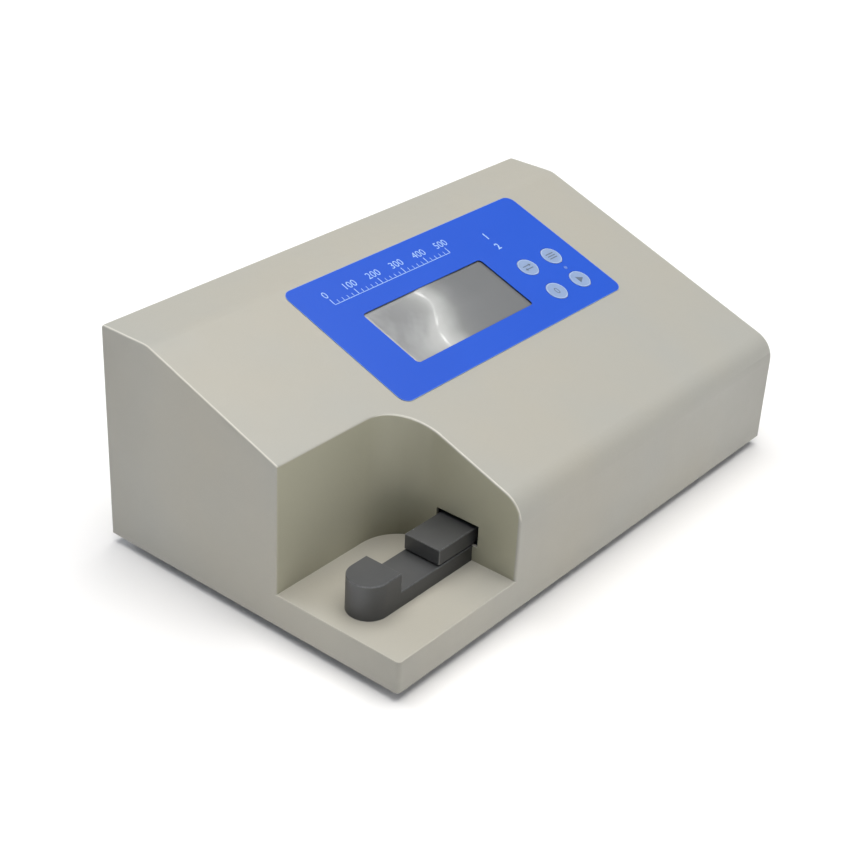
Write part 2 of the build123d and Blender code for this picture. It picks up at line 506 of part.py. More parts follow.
led = post(LED_UV[0], LED_UV[1], LAYER, LAYER + SKIN + 0.2, LED_D / 2)
led = fillet(led.edges().filter_by(GeomType.CIRCLE).sort_by(Axis.Z)[-1:], 0.2)
nodes["status_led"] = led

for name, (ku, kv) in KEYS.items():
    k = post(ku, kv, KEY_GAP, KEY_GAP + KEY_T, KEY_D / 2)
    k = fillet(k.edges().filter_by(GeomType.CIRCLE).sort_by(Axis.Z)[-1:], 0.12)
    nodes[name] = k

# ---------------------------------------------------------------- display
nodes["display_window"] = plate(WIN_U0 - 1.3, WIN_U1 + 1.3, WIN_V0 - 1.3, WIN_V1 + 1.3, -1.4, -0.4, 2.8)
UC, VC = (WIN_U0 + WIN_U1) / 2, (WIN_V0 + WIN_V1) / 2
bez = plate(UC - 58.3, UC + 58.3, VC - 27.5, VC + 27.5, -9.5, -2.0, 1.0)
bez -= plate(UC - 57.5, UC + 57.5, VC - 26.7, VC + 26.7, -10.5, -2.6)
bez -= plate(UC - 54.0, UC + 54.0, VC - 23.2, VC + 23.2, -3.5, 0)
nodes["lcd_bezel"] = bez
nodes["lcd_glass"] = plate(UC - 57.0, UC + 57.0, VC - 26.2, VC + 26.2, -5.2, -2.6)
lcdb = plate(UC - 64.3, UC + 64.3, VC - 33.0, VC + 33.0, -11.1, -9.5)
LCD_POSTS = [(UC + a * 61.0, VC + b * 30.0) for a in (-1, 1) for b in (-1, 1)]
for pu, pv in LCD_POSTS:
    lcdb -= post(pu, pv, -12, -9, 1.6)
lcdb += plate(UC - 12, UC + 12, VC - 3, VC + 3, -17.0, -11.0)
nodes["lcd_board"] = lcdb
nodes["lcd_standoffs"] = group([post(pu, pv, -9.5, -WALL, 2.6) - post(pu, pv, -10, -4.5, 1.55) for pu, pv in LCD_POSTS])

# ---------------------------------------------------------------- main board
pcb = box(PCB_X0, PCB_X1, PCB_Y0, PCB_Y1, PCB_Z, PCB_Z + PCB_T)
for sx, sy in PCB_SCREWS:
    pcb -= cyl_z(PCB_Z - 1, PCB_Z + 3, sx, sy, 1.6)
nodes["main_board"] = pcb
nodes["board_standoffs"] = group([cyl_z(8.0, PCB_Z, sx, sy, 3.0) - cyl_z(9.5, PCB_Z + 1, sx, sy, 1.55) for sx, sy in PCB_SCREWS])
nodes["board_screws"] = group(
    [Pos(sx, sy, PCB_Z + PCB_T) * Rot(180, 0, 0) * pan_screw(3.0, 5.6, 1.8, 6.0) for sx, sy in PCB_SCREWS]
    + [slope.location * Pos(pu, pv, -11.1) * pan_screw(3.0, 5.6, 1.8, 6.0) for pu, pv in LCD_POSTS])

TAIL_END_Z = 25.0
tail_w = (TAIL_END_Z - Z_FRONT - TAIL_V * SIN) / COS
tail_y = Y_FRONT + TAIL_V * COS - tail_w * SIN
RIB_Y = Y_FRONT + VC * COS + 17.0 * SIN
zt = PCB_Z + PCB_T
comps = [
    box(-15.0, 17.6, RIB_Y - 4, RIB_Y + 4, zt, TAIL_END_Z),                  # ribbon header
    box(TAIL_U0 - 2, TAIL_U1 + 2, tail_y - 3, tail_y + 3, zt, TAIL_END_Z),   # keypad header
    box(-35.0, -21.0, 40.0, 54.0, zt, zt + 1.6),                             # controller
    box(-8.0, 10.0, 46.0, 53.5, zt, zt + 3.4),                               # memory
    box(20.0, 34.0, 40.0, 50.0, zt, zt + 2.4),                               # converter
    box(45.0, 65.0, 44.0, 64.0, zt, zt + 13.0),                              # motor driver with heat sink
    box(76.0, 98.0, 30.0, 40.0, zt, zt + 11.0),                              # supply terminals
    box(-56.0, -48.0, 20.0, 50.0, zt, zt + 9.0),                             # drive and load cell header
    cyl_z(zt, zt + 16.0, 40.0, 24.0, 5.0),
    cyl_z(zt, zt + 16.0, 54.0, 24.0, 5.0),
    cyl_z(zt, zt + 9.5, -36.0, 66.0, 6.0),                                   # buzzer
    box(-12.0, -1.0, 62.0, 66.6, zt, zt + 3.5),                              # crystal
]
for i in range(5):
    comps[5] -= box(47.0 + 3.6 * i, 48.8 + 3.6 * i, 43.0, 65.0, zt + 4.0, zt + 14.0)
nodes["board_components"] = group(comps)

rib = box(-11.0, 13.6, RIB_Y - 0.6, RIB_Y + 0.6, TAIL_END_Z, 130.0)
rib -= plate(-60, 60, VC - 60, VC + 60, -17.0, 60.0)
nodes["ribbon_cable"] = rib
tail = plate(TAIL_U0, TAIL_U1, TAIL_V - 0.15, TAIL_V + 0.15, tail_w - 5, 0)
tail -= box(TAIL_U0 - 5, TAIL_U1 + 5, tail_y - 20, tail_y + 20, 5.0, TAIL_END_Z)
nodes["keypad_tail"] = tail

# ---------------------------------------------------------------- power supply
case = box(PSU_X0, PSU_X1, PSU_Y0, PSU_Y1, PSU_Z0, PSU_Z1)
case -= box(PSU_X0 + 1.2, PSU_X1 - 1.2, PSU_Y0 - 1, PSU_Y1 - 1.2, PSU_Z0 + 1.2, PSU_Z1 - 1.2)
for i in range(9):
    yy = PSU_Y0 + 22 + 7.0 * i
    case -= box(PSU_X0 + 10, PSU_X1 - 10, yy, yy + 3.0, PSU_Z1 - 3, PSU_Z1 + 1)
for sx, sy in PSU_SCREWS:
    case -= cyl_z(PSU_Z0 - 1, PSU_Z0 + 3, sx, sy, 1.55)
core = box(PSU_X0 + 5, PSU_X1 - 5, PSU_Y0 + 16, PSU_Y1 - 16, PSU_Z0 + 1.2, PSU_Z1 - 6)
strip = box(PSU_X0 + 12, PSU_X1 - 12, PSU_Y0 + 1, PSU_Y0 + 13, PSU_Z0 + 1.2, PSU_Z0 + 14)
for i in range(5):
    xx = PSU_X0 + 14.0 + 6.2 * i
    strip -= box(xx, xx + 4.2, PSU_Y0, PSU_Y0 + 8, PSU_Z0 + 8, PSU_Z0 + 15)
nodes["power_supply"] = group([case, core, strip])

# ---------------------------------------------------------------- mains inlet
rear = Plane(origin=(INLET_X, Y_BACK, INLET_Z), x_dir=(-1, 0, 0), z_dir=(0, 1, 0))
flange = rear.location * extrude(RectangleRounded(50.0, 34.0, 3.5), amount=2.5)
inlet = flange + box(INLET_X - 13.6, INLET_X + 13.6, 78.0, Y_BACK + 1, INLET_Z - 15.6, INLET_Z + 15.6)
SOCK_Z = INLET_Z + 6.0
sock_pts = [(-12.0, -8.25), (12.0, -8.25), (12.0, 3.6), (7.6, 8.25), (-7.6, 8.25), (-12.0, 3.6)]
sock_face = Plane(origin=(INLET_X, 87.0, SOCK_Z), x_dir=(-1, 0, 0), z_dir=(0, 1, 0)) * make_face(Polyline(*sock_pts, close=True))
inlet -= extrude(sock_face, amount=20.0)
FUSE_Z = INLET_Z - 10.0
inlet -= box(INLET_X - 11.0, INLET_X + 11.0, 84.0, Y_BACK + 5, FUSE_Z - 4.5, FUSE_Z + 4.5)
PINS = [(-7.0, -2.0), (7.0, -2.0), (0.0, 2.0)]
for px, pz in PINS:
    inlet -= box(INLET_X + px - 1.0, INLET_X + px + 1.0, 77.0, 88.0, SOCK_Z + pz - 2.0, SOCK_Z + pz + 2.0)
for ix, iz in INLET_SCREWS:
    inlet -= cyl_y(Y_BACK - 1, Y_BACK + 5, ix, iz, 1.6)
    inlet -= Pos(ix, Y_BACK + 2.5, iz) * Rot(90, 0, 0) * Cone(bottom_radius=3.1, top_radius=1.6, height=1.6, align=LOW)
nodes["power_inlet"] = inlet
nodes["inlet_pins"] = group([box(INLET_X + px - 1.0, INLET_X + px + 1.0, 72.0, 98.5, SOCK_Z + pz - 2.0, SOCK_Z + pz + 2.0) for px, pz in PINS])
isc = []
for ix, iz in INLET_SCREWS:
    s = Pos(ix, Y_BACK + 2.5, iz) * Rot(90, 0, 0) * Cone(bottom_radius=3.0, top_radius=1.5, height=1.6, align=LOW)
    s += cyl_y(95.6, Y_BACK + 1.5, ix, iz, 1.5)
    s -= box(ix - 2.0, ix + 2.0, Y_BACK + 1.7, Y_BACK + 3, iz - 0.4, iz + 0.4)
    s -= box(ix - 0.4, ix + 0.4, Y_BACK + 1.7, Y_BACK + 3, iz - 2.0, iz + 2.0)
    isc.append(s)
    n = Pos(ix, Y_BACK - WALL - 2.4, iz) * Rot(-90, 0, 0) * hex_bar(5.5, 2.4)
    n -= cyl_y(90, 102, ix, iz, 1.55)
    isc.append(n)
nodes["inlet_screws"] = group(isc)

drawer = box(INLET_X - 10.7, INLET_X + 10.7, 84.6, 104.8, FUSE_Z - 4.2, FUSE_Z + 4.2)
drawer -= box(INLET_X - 10.1, INLET_X + 10.1, 88.0, 94.0, FUSE_Z - 2.7, FUSE_Z + 5)
drawer -= box(INLET_X - 4.0, INLET_X + 4.0, 103.6, 106.0, FUSE_Z + 1.6, FUSE_Z + 5)
drawer -= box(INLET_X - 9.0, INLET_X + 9.0, 96.0, 101.5, FUSE_Z - 2.7, FUSE_Z + 5)
nodes["fuse_drawer"] = drawer
nodes["fuse_cartridge"] = group([
    cyl_x(INLET_X - 5.0, INLET_X + 5.0, 91.0, FUSE_Z - 0.2, 2.2),
    cyl_x(INLET_X - 10.0, INLET_X - 5.0, 91.0, FUSE_Z - 0.2, 2.5),
    cyl_x(INLET_X + 5.0, INLET_X + 10.0, 91.0, FUSE_Z - 0.2, 2.5)])

# ---------------------------------------------------------------- mains switch
sw = box(SWITCH_X - 7.5, SWITCH_X + 7.5, 80.0, Y_BACK + 1, SWITCH_Z - 10.2, SWITCH_Z + 10.2)
bezel = Plane(origin=(SWITCH_X, Y_BACK, SWITCH_Z), x_dir=(-1, 0, 0), z_dir=(0, 1, 0)).location * extrude(RectangleRounded(18.0, 24.0, 1.5), amount=2.0)
bezel = fillet(bezel.edges().group_by(Axis.Y)[-1], 0.5)
sw += bezel
sw -= box(SWITCH_X - 5.9, SWITCH_X + 5.9, 91.0, Y_BACK + 5, SWITCH_Z - 8.95, SWITCH_Z + 8.95)
sw -= cyl_x(SWITCH_X - 7.3, SWITCH_X + 7.3, ROCKER_PIVOT_Y, SWITCH_Z, 1.5 + RUN_FIT)
blades = []
for bz in (-7.0, 0.0, 7.0):
    blades.append(box(SWITCH_X - 3.0, SWITCH_X + 3.0, 73.0, 80.0, SWITCH_Z + bz - 0.4, SWITCH_Z + bz + 0.4))
nodes["switch_housing"] = group([sw] + blades)

rock_pts = [(-8.0, 5.6), (0.0, 4.7), (8.0, 5.6), (8.0, 1.5), (4.0, -4.0), (-4.0, -4.0), (-8.0, 1.5)]
a = math.radians(ROCKER_TILT)
turned = [(z * math.cos(a) - y * math.sin(a), z * math.sin(a) + y * math.cos(a)) for z, y in rock_pts]
face = Plane.YZ * make_face(Polyline(*[(ROCKER_PIVOT_Y + y, SWITCH_Z + z) for z, y in turned], close=True))
rocker = Pos(SWITCH_X - 5.5, 0, 0) * extrude(face, amount=11.0, dir=(1, 0, 0))
try:
    rocker = fillet([e for e in rocker.edges() if e.center().Y > ROCKER_PIVOT_Y + 3.5], 0.4)
except Exception:
    print("rocker fillet skipped")
rocker += cyl_x(SWITCH_X - 6.8, SWITCH_X + 6.8, ROCKER_PIVOT_Y, SWITCH_Z, 1.5)
nodes["power_rocker"] = rocker

# ---------------------------------------------------------------- serial port
def d_face(w, h, r):
    k = h * math.tan(math.radians(10)) / 2
    f = make_face(Polyline((-w / 2 - k, h / 2), (w / 2 + k, h / 2), (w / 2 - k, -h / 2), (-w / 2 + k, -h / 2), close=True))
    return fillet(f.vertices(), r)


def at_rear(x, y, z):
    return Plane(origin=(x, y, z), x_dir=(-1, 0, 0), z_dir=(0, 1, 0)).location


port = at_rear(SERIAL_X, 98.6, SERIAL_Z) * extrude(RectangleRounded(30.8, 12.5, 1.2), amount=1.0)
port += at_rear(SERIAL_X, 98.6, SERIAL_Z) * extrude(d_face(16.3, 8.3, 1.8), amount=7.0)
port += box(SERIAL_X - 9.5, SERIAL_X + 9.5, 88.0, 99.0, SERIAL_Z - 5.4, SERIAL_Z + 5.4)
for i in range(5):
    port -= cyl_y(100.6, 106, SERIAL_X - 5.54 + 2.77 * i, SERIAL_Z + 1.42, 0.55)
for i in range(4):
    port -= cyl_y(100.6, 106, SERIAL_X - 4.155 + 2.77 * i, SERIAL_Z - 1.42, 0.55)
for sx, sz in SERIAL_POSTS:
    port -= cyl_y(98, 100, sx, sz, 1.6)
nodes["serial_port"] = port
posts = []
for sx, sz in SERIAL_POSTS:
    p = Pos(sx, Y_BACK, sz) * Rot(-90, 0, 0) * hex_bar(4.8, 3.6)
    p += cyl_y(93.0, Y_BACK + 0.5, sx, sz, 1.5)
    p -= cyl_y(Y_BACK + 1.0, Y_BACK + 5, sx, sz, 1.0)
    posts.append(p)
    n = Pos(sx, 96.2, sz) * Rot(-90, 0, 0) * hex_bar(5.0, 2.4)
    n -= cyl_y(90, 102, sx, sz, 1.55)
    posts.append(n)
nodes["serial_posts"] = group(posts)

# ---------------------------------------------------------------- write
for name, shape in nodes.items():
    if not isinstance(shape, Compound):
        shape = shape if isinstance(shape, Solid) else Compound(shape.solids())
    solids = shape.solids()
    shape = solids[0] if len(solids) == 1 else Compound(list(solids))
    shape.label = name
    export_step(shape, "parts/" + name + ".step")
print(len(nodes), "nodes")
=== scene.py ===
import json
import math
import random

import bmesh
import bpy
from mathutils import Matrix, Vector


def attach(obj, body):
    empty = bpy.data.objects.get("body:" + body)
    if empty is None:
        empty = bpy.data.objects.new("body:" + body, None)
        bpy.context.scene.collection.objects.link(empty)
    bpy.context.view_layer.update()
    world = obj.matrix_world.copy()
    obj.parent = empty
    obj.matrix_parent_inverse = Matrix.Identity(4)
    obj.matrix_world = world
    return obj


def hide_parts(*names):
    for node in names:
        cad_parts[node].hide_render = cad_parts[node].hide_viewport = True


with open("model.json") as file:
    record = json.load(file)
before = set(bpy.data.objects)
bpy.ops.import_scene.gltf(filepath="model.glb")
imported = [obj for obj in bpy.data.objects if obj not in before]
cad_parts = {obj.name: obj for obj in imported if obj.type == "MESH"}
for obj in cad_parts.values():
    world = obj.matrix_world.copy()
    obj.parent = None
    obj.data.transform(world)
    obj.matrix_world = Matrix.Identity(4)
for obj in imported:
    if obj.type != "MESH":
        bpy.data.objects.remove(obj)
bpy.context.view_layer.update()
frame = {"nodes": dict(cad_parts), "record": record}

nodes = frame["nodes"]
scene = bpy.context.scene
MM = 0.001
random.seed(7)

# ---------------------------------------------------------------------------
# slope frame: u along X, v up the slope, w out of it (millimetres)
# ---------------------------------------------------------------------------
ANG = math.atan2(133.7 - 70.9, 67.4 + 105.6)
SN, CS = math.sin(ANG), math.cos(ANG)
SLOPE = Matrix(((MM, 0, 0, 0),
                (0, CS * MM, -SN * MM, -0.1056),
                (0, SN * MM, CS * MM, 0.0709),
                (0, 0, 0, 1)))
PU0, PU1, PV0, PV1, PR = -81.8, 121.6, 83.8, 179.7, 6.0
WU0, WU1, WV0, WV1, WR = -51.3, 53.1, 102.1, 145.6, 2.5
KEYS = {"key_upper_left": (77.1, 126.0), "key_upper_right": (100.75, 126.0),
        "key_lower_left": (77.1, 102.6), "key_lower_right": (100.75, 102.6)}
KEY_TOP = 0.6
# the crease in the display film, top to bottom
STREAK = [(-7.6, 148.0), (-6.7, 143.5), (-5.1, 138.5), (-4.9, 135.0), (-5.7, 132.0), (-7.6, 129.0),
          (-10.6, 125.2), (-14.3, 120.8), (-17.6, 116.5), (-20.3, 112.0), (-21.9, 107.0), (-22.0, 103.5), (-21.6, 100.0)]
SKIN_TOP = 0.45
FILM_BASE = -0.4


# ---------------------------------------------------------------------------
# shader helpers
# ---------------------------------------------------------------------------
def new_mat(name):
    m = bpy.data.materials.new(name)
    m.use_nodes = True
    nt = m.node_tree
    nt.nodes.clear()
    out = nt.nodes.new("ShaderNodeOutputMaterial")
    b = nt.nodes.new("ShaderNodeBsdfPrincipled")
    nt.links.new(b.outputs[0], out.inputs[0])
    return m, nt, b


def node(nt, kind, **props):
    n = nt.nodes.new(kind)
    for k, v in props.items():
        setattr(n, k, v)
    return n


def coords(nt, scale=(1, 1, 1), rot=(0, 0, 0)):
    t = node(nt, "ShaderNodeTexCoord")
    m = node(nt, "ShaderNodeMapping")
    m.inputs["Scale"].default_value = scale
    m.inputs["Rotation"].default_value = rot
    nt.links.new(t.outputs["Object"], m.inputs["Vector"])
    return m.outputs[0]


def noise(nt, vec, scale, detail=2.0, rough=0.5, distortion=0.0):
    n = node(nt, "ShaderNodeTexNoise")
    n.inputs["Scale"].default_value = scale
    n.inputs["Detail"].default_value = detail
    n.inputs["Roughness"].default_value = rough
    n.inputs["Distortion"].default_value = distortion
    nt.links.new(vec, n.inputs["Vector"])
    return n.outputs["Fac"]


def math_n(nt, op, a, b=None, c=None, clamp=False):
    n = node(nt, "ShaderNodeMath", operation=op, use_clamp=clamp)
    for i, v in enumerate((a, b, c)):
        if v is None:
            continue
        if isinstance(v, (int, float)):
            n.inputs[i].default_value = v
        else:
            nt.links.new(v, n.inputs[i])
    return n.outputs[0]


def remap(nt, val, a, b, c, d):
    n = node(nt, "ShaderNodeMapRange")
    n.inputs[1].default_value = a
    n.inputs[2].default_value = b
    n.inputs[3].default_value = c
    n.inputs[4].default_value = d
    nt.links.new(val, n.inputs[0])
    return n.outputs[0]


def mix_col(nt, fac, a, b, blend="MIX"):
    n = node(nt, "ShaderNodeMix", data_type="RGBA", blend_type=blend)
    for i, v in ((0, fac), (6, a), (7, b)):
        if isinstance(v, (int, float)):
            n.inputs[i].default_value = v
        elif isinstance(v, (tuple, list)):
            n.inputs[i].default_value = (*v[:3], 1.0)
        else:
            nt.links.new(v, n.inputs[i])
    return n.outputs[2]


def bump(nt, bsdf, height, strength, distance):
    n = node(nt, "ShaderNodeBump")
    n.inputs["Strength"].default_value = strength
    n.inputs["Distance"].default_value = distance
    nt.links.new(height, n.inputs["Height"])
    nt.links.new(n.outputs[0], bsdf.inputs["Normal"])
    return n


def put(nt, bsdf, name, v):
    s = bsdf.inputs[name]
    if isinstance(v, (int, float)):
        s.default_value = v
    elif isinstance(v, (tuple, list)):
        s.default_value = (*v[:3], 1.0)
    else:
        nt.links.new(v, s)


def edge_mask(nt, radius, samples=6):
    """1 on rounded or sharp edges, 0 on flats."""
    b = node(nt, "ShaderNodeBevel", samples=samples)
    b.inputs["Radius"].default_value = radius
    g = node(nt, "ShaderNodeNewGeometry")
    d = node(nt, "ShaderNodeVectorMath", operation="DOT_PRODUCT")
    nt.links.new(b.outputs[0], d.inputs[0])
    nt.links.new(g.outputs["Normal"], d.inputs[1])
    return remap(nt, d.outputs["Value"], 1.0, 0.86, 0.0, 1.0)


def off_seam(nt):
    """0 along the two planes in which the bay liner is welded to the cover and ground flush, 1 elsewhere."""
    t = node(nt, "ShaderNodeTexCoord")
    s = node(nt, "ShaderNodeSeparateXYZ")
    nt.links.new(t.outputs["Object"], s.inputs[0])
    near = []
    for out, plane in ((0, SEAM_X), (1, SEAM_Y)):
        d = math_n(nt, "ABSOLUTE", math_n(nt, "SUBTRACT", s.outputs[out], plane))
        near.append(math_n(nt, "GREATER_THAN", d, 0.00105))
    return math_n(nt, "MULTIPLY", near[0], near[1])


def bay_walls(nt):
    """1 on the upright walls of the loading bay."""
    t = node(nt, "ShaderNodeTexCoord")
    p = node(nt, "ShaderNodeSeparateXYZ")
    nt.links.new(t.outputs["Object"], p.inputs[0])
    g = node(nt, "ShaderNodeNewGeometry")
    s = node(nt, "ShaderNodeSeparateXYZ")
    nt.links.new(g.outputs["Normal"], s.inputs[0])
    w = math_n(nt, "LESS_THAN", math_n(nt, "ABSOLUTE", s.outputs[2]), 0.3)
    w = math_n(nt, "MULTIPLY", w, math_n(nt, "LESS_THAN", p.outputs[0], -0.0540))
    w = math_n(nt, "MULTIPLY", w, math_n(nt, "GREATER_THAN", p.outputs[0], -0.1745))
    w = math_n(nt, "MULTIPLY", w, math_n(nt, "GREATER_THAN", p.outputs[1], -0.1040))
    w = math_n(nt, "MULTIPLY", w, math_n(nt, "LESS_THAN", p.outputs[1], 0.0045))
    return math_n(nt, "MULTIPLY", w, math_n(nt, "GREATER_THAN", p.outputs[2], 0.0250))


def bay_corner_painted_shade(nt):
    """0 to 1 low in the loading bay's rounded inner corner, where shade collects and is painted into the coat."""
    t = node(nt, "ShaderNodeTexCoord")
    p = node(nt, "ShaderNodeSeparateXYZ")
    nt.links.new(t.outputs["Object"], p.inputs[0])
    dx = math_n(nt, "ADD", p.outputs[0], 0.0870)
    dy = math_n(nt, "ADD", p.outputs[1], 0.0360)
    r = math_n(nt, "SQRT", math_n(nt, "ADD", math_n(nt, "MULTIPLY", dx, dx), math_n(nt, "MULTIPLY", dy, dy)), 0.0)
    near = remap(nt, r, 0.004, 0.046, 1.0, 0.0)
    low = remap(nt, p.outputs[2], 0.0250, 0.0580, 1.0, 0.0)
    both = math_n(nt, "MULTIPLY", math_n(nt, "POWER", near, 1.4), math_n(nt, "POWER", low, 1.3))
    return math_n(nt, "MULTIPLY", bay_walls(nt), both)


def corner_faces_painted_shade(nt):
    """0 to 1 on the upright outer faces, strongest at the housing's upright corners, where painted shade darkens the
    coat.
    """
    t = node(nt, "ShaderNodeTexCoord")
    p = node(nt, "ShaderNodeSeparateXYZ")
    nt.links.new(t.outputs["Object"], p.inputs[0])
    g = node(nt, "ShaderNodeNewGeometry")
    s = node(nt, "ShaderNodeSeparateXYZ")
    nt.links.new(g.outputs["Normal"], s.inputs[0])
    up = math_n(nt, "LESS_THAN", math_n(nt, "ABSOLUTE", s.outputs[2]), 0.3)
    x = math_n(nt, "ABSOLUTE", p.outputs[0])
    y = math_n(nt, "ABSOLUTE", p.outputs[1])
    outer = math_n(nt, "MAXIMUM", math_n(nt, "GREATER_THAN", x, 0.1735), math_n(nt, "GREATER_THAN", y, 0.1005))
    near_x = remap(nt, x, 0.115, 0.175, 0.0, 1.0)
    near_y = remap(nt, y, 0.055, 0.105, 0.0, 1.0)
    both = math_n(nt, "MULTIPLY", near_x, near_y)
    return math_n(nt, "MULTIPLY", math_n(nt, "MULTIPLY", up, outer), math_n(nt, "MULTIPLY", math_n(nt, "POWER", both, 1.3), 0.85))


def rim_painted_highlight(nt):
    """1 on the small roundings between the top surfaces and the upright ones, where a painted highlight lightens the
    coat.
    """
    g = node(nt, "ShaderNodeNewGeometry")
    s = node(nt, "ShaderNodeSeparateXYZ")
    nt.links.new(g.outputs["Normal"], s.inputs[0])
    t = node(nt, "ShaderNodeTexCoord")
    p = node(nt, "ShaderNodeSeparateXYZ")
    nt.links.new(t.outputs["Object"], p.inputs[0])
    ax = math_n(nt, "ABSOLUTE", s.outputs[0])
    side = math_n(nt, "MULTIPLY", remap(nt, ax, 0.10, 0.22, 0.0, 1.0), remap(nt, ax, 0.62, 0.86, 1.0, 0.0))
    side = math_n(nt, "MULTIPLY", side, remap(nt, p.outputs[2], 0.045, 0.068, 0.12, 1.0))
    side = math_n(nt, "MULTIPLY", side, remap(nt, s.outputs[2], 0.08, 0.20, 0.0, 1.0))
    ny = math_n(nt, "MULTIPLY", s.outputs[1], -1.0)
    lip = math_n(nt, "MULTIPLY", remap(nt, ny, 0.42, 0.55, 0.0, 1.0), remap(nt, ny, 0.90, 0.98, 1.0, 0.0))
    lip = math_n(nt, "MULTIPLY", lip, remap(nt, s.outputs[2], 0.20, 0.30, 0.0, 1.0))
    bend = math_n(nt, "MULTIPLY", math_n(nt, "LESS_THAN", p.outputs[1], -0.085), math_n(nt, "GREATER_THAN", p.outputs[2], 0.040))
    lip = math_n(nt, "MULTIPLY", lip, math_n(nt, "MULTIPLY", math_n(nt, "SUBTRACT", 1.0, bend), 0.16))
    return math_n(nt, "MINIMUM", math_n(nt, "MAXIMUM", side, lip), 1.0)


# ---------------------------------------------------------------------------
# materials
# ---------------------------------------------------------------------------
SEAM_X, SEAM_Y = -0.0801, -0.0219
def mat_paint(name, col):
    m, nt, b = new_mat(name)
    v = coords(nt)
    big = noise(nt, v, 9.0, 3.0, 0.5)
    mid = noise(nt, v, 60.0, 2.0, 0.6)
    fine = noise(nt, v, 1500.0, 2.0, 0.6)
    warm = tuple(c * k for c, k in zip(col, (1.02, 1.0, 0.96)))
    cool = tuple(c * k for c, k in zip(col, (0.97, 0.985, 1.0)))
    c1 = mix_col(nt, remap(nt, big, 0.35, 0.65, 0, 1), warm, cool)
    c2 = mix_col(nt, remap(nt, mid, 0.3, 0.75, 0.0, 0.05), c1, tuple(c * 0.8 for c in col))
    c3 = mix_col(nt, remap(nt, fine, 0.35, 0.7, 0.0, 0.07), c2, tuple(c * 0.72 for c in col))
    # painted highlight: the coat is lightened on its edges and rims, and kept off the weld seams
    edge = math_n(nt, "MULTIPLY", edge_mask(nt, 0.0009), remap(nt, mid, 0.3, 0.7, 0.55, 0.85))
    edge = math_n(nt, "MAXIMUM", math_n(nt, "MULTIPLY", edge, off_seam(nt)),
                  math_n(nt, "MULTIPLY", rim_painted_highlight(nt), remap(nt, mid, 0.3, 0.7, 0.75, 1.0)))
    c3 = mix_col(nt, edge, c3, tuple(min(1.0, x * 1.55) for x in col))
    # painted shade: the upright outer faces are darkened towards the housing's corners
    c3 = mix_col(nt, math_n(nt, "MULTIPLY", corner_faces_painted_shade(nt), remap(nt, mid, 0.3, 0.7, 0.8, 1.0)), c3, tuple(x * 0.80 for x in col))
    # painted light: a warm yellow cast on the bay's walls stands in for the warm light bounced inside the bay
    c3 = mix_col(nt, math_n(nt, "MULTIPLY", bay_walls(nt), remap(nt, big, 0.35, 0.65, 0.85, 1.0)), c3,
                 tuple(x * k for x, k in zip(col, (0.97, 0.97, 0.815))))
    # painted shade low in the bay's rounded inner corner
    c3 = mix_col(nt, math_n(nt, "MULTIPLY", bay_corner_painted_shade(nt), remap(nt, mid, 0.3, 0.7, 0.85, 1.0)), c3,
                 tuple(x * k for x, k in zip(col, (0.36, 0.36, 0.27))))
    put(nt, b, "Base Color", c3)
    rr = math_n(nt, "ADD", remap(nt, mid, 0.3, 0.7, 0.36, 0.42), remap(nt, fine, 0.3, 0.7, -0.02, 0.04))
    put(nt, b, "Roughness", rr)
    b.inputs["Specular IOR Level"].default_value = 0.42
    peel = noise(nt, v, 420.0, 3.0, 0.55)
    grain = noise(nt, v, 2600.0, 1.0, 0.5)
    h = math_n(nt, "ADD", math_n(nt, "MULTIPLY", peel, 1.0), math_n(nt, "MULTIPLY", grain, 0.18))
    bump(nt, b, h, 0.35, 0.00012)
    return m


def mat_plastic(name, col, rough=0.5, grain=1800.0, depth=0.00004, spread=0.12, spec=0.4):
    m, nt, b = new_mat(name)
    v = coords(nt)
    n1 = noise(nt, v, grain, 2.0, 0.6)
    n2 = noise(nt, v, 45.0, 3.0, 0.55)
    c = mix_col(nt, remap(nt, n2, 0.3, 0.7, 0, 1), col, tuple(x * (1 - spread) + 0.004 for x in col))
    c = mix_col(nt, remap(nt, n1, 0.4, 0.75, 0, 0.25), c, tuple(x * 0.7 for x in col))
    put(nt, b, "Base Color", c)
    put(nt, b, "Roughness", math_n(nt, "ADD", remap(nt, n2, 0.3, 0.7, rough - 0.04, rough + 0.05),
                                   remap(nt, n1, 0.3, 0.7, -0.03, 0.04)))
    b.inputs["Specular IOR Level"].default_value = spec
    bump(nt, b, n1, 0.5, depth)
    return m


def mat_metal(name, col, rough=0.3, stretch=(1, 1, 1), scale=900.0, depth=0.00002, stain=0.15, metallic=1.0):
    """Metal with a lay of fine tool or rolling marks, drawn out along the axis with the small stretch."""
    m, nt, b = new_mat(name)
    v = coords(nt, scale=stretch)
    v0 = coords(nt)
    lay = noise(nt, v, scale, 4.0, 0.7)
    blot = noise(nt, v0, 35.0, 4.0, 0.6)
    c = mix_col(nt, remap(nt, blot, 0.35, 0.7, 0, 1), col, tuple(x * (1 - stain) for x in col))
    c = mix_col(nt, remap(nt, lay, 0.3, 0.75, 0, 0.35), c, tuple(x * 0.78 for x in col))
    put(nt, b, "Base Color", c)
    b.inputs["Metallic"].default_value = metallic
    put(nt, b, "Roughness", math_n(nt, "ADD", remap(nt, blot, 0.3, 0.7, rough - 0.05, rough + 0.06),
                                   remap(nt, lay, 0.3, 0.7, -0.05, 0.07)))
    bump(nt, b, lay, 0.4, depth)
    return m


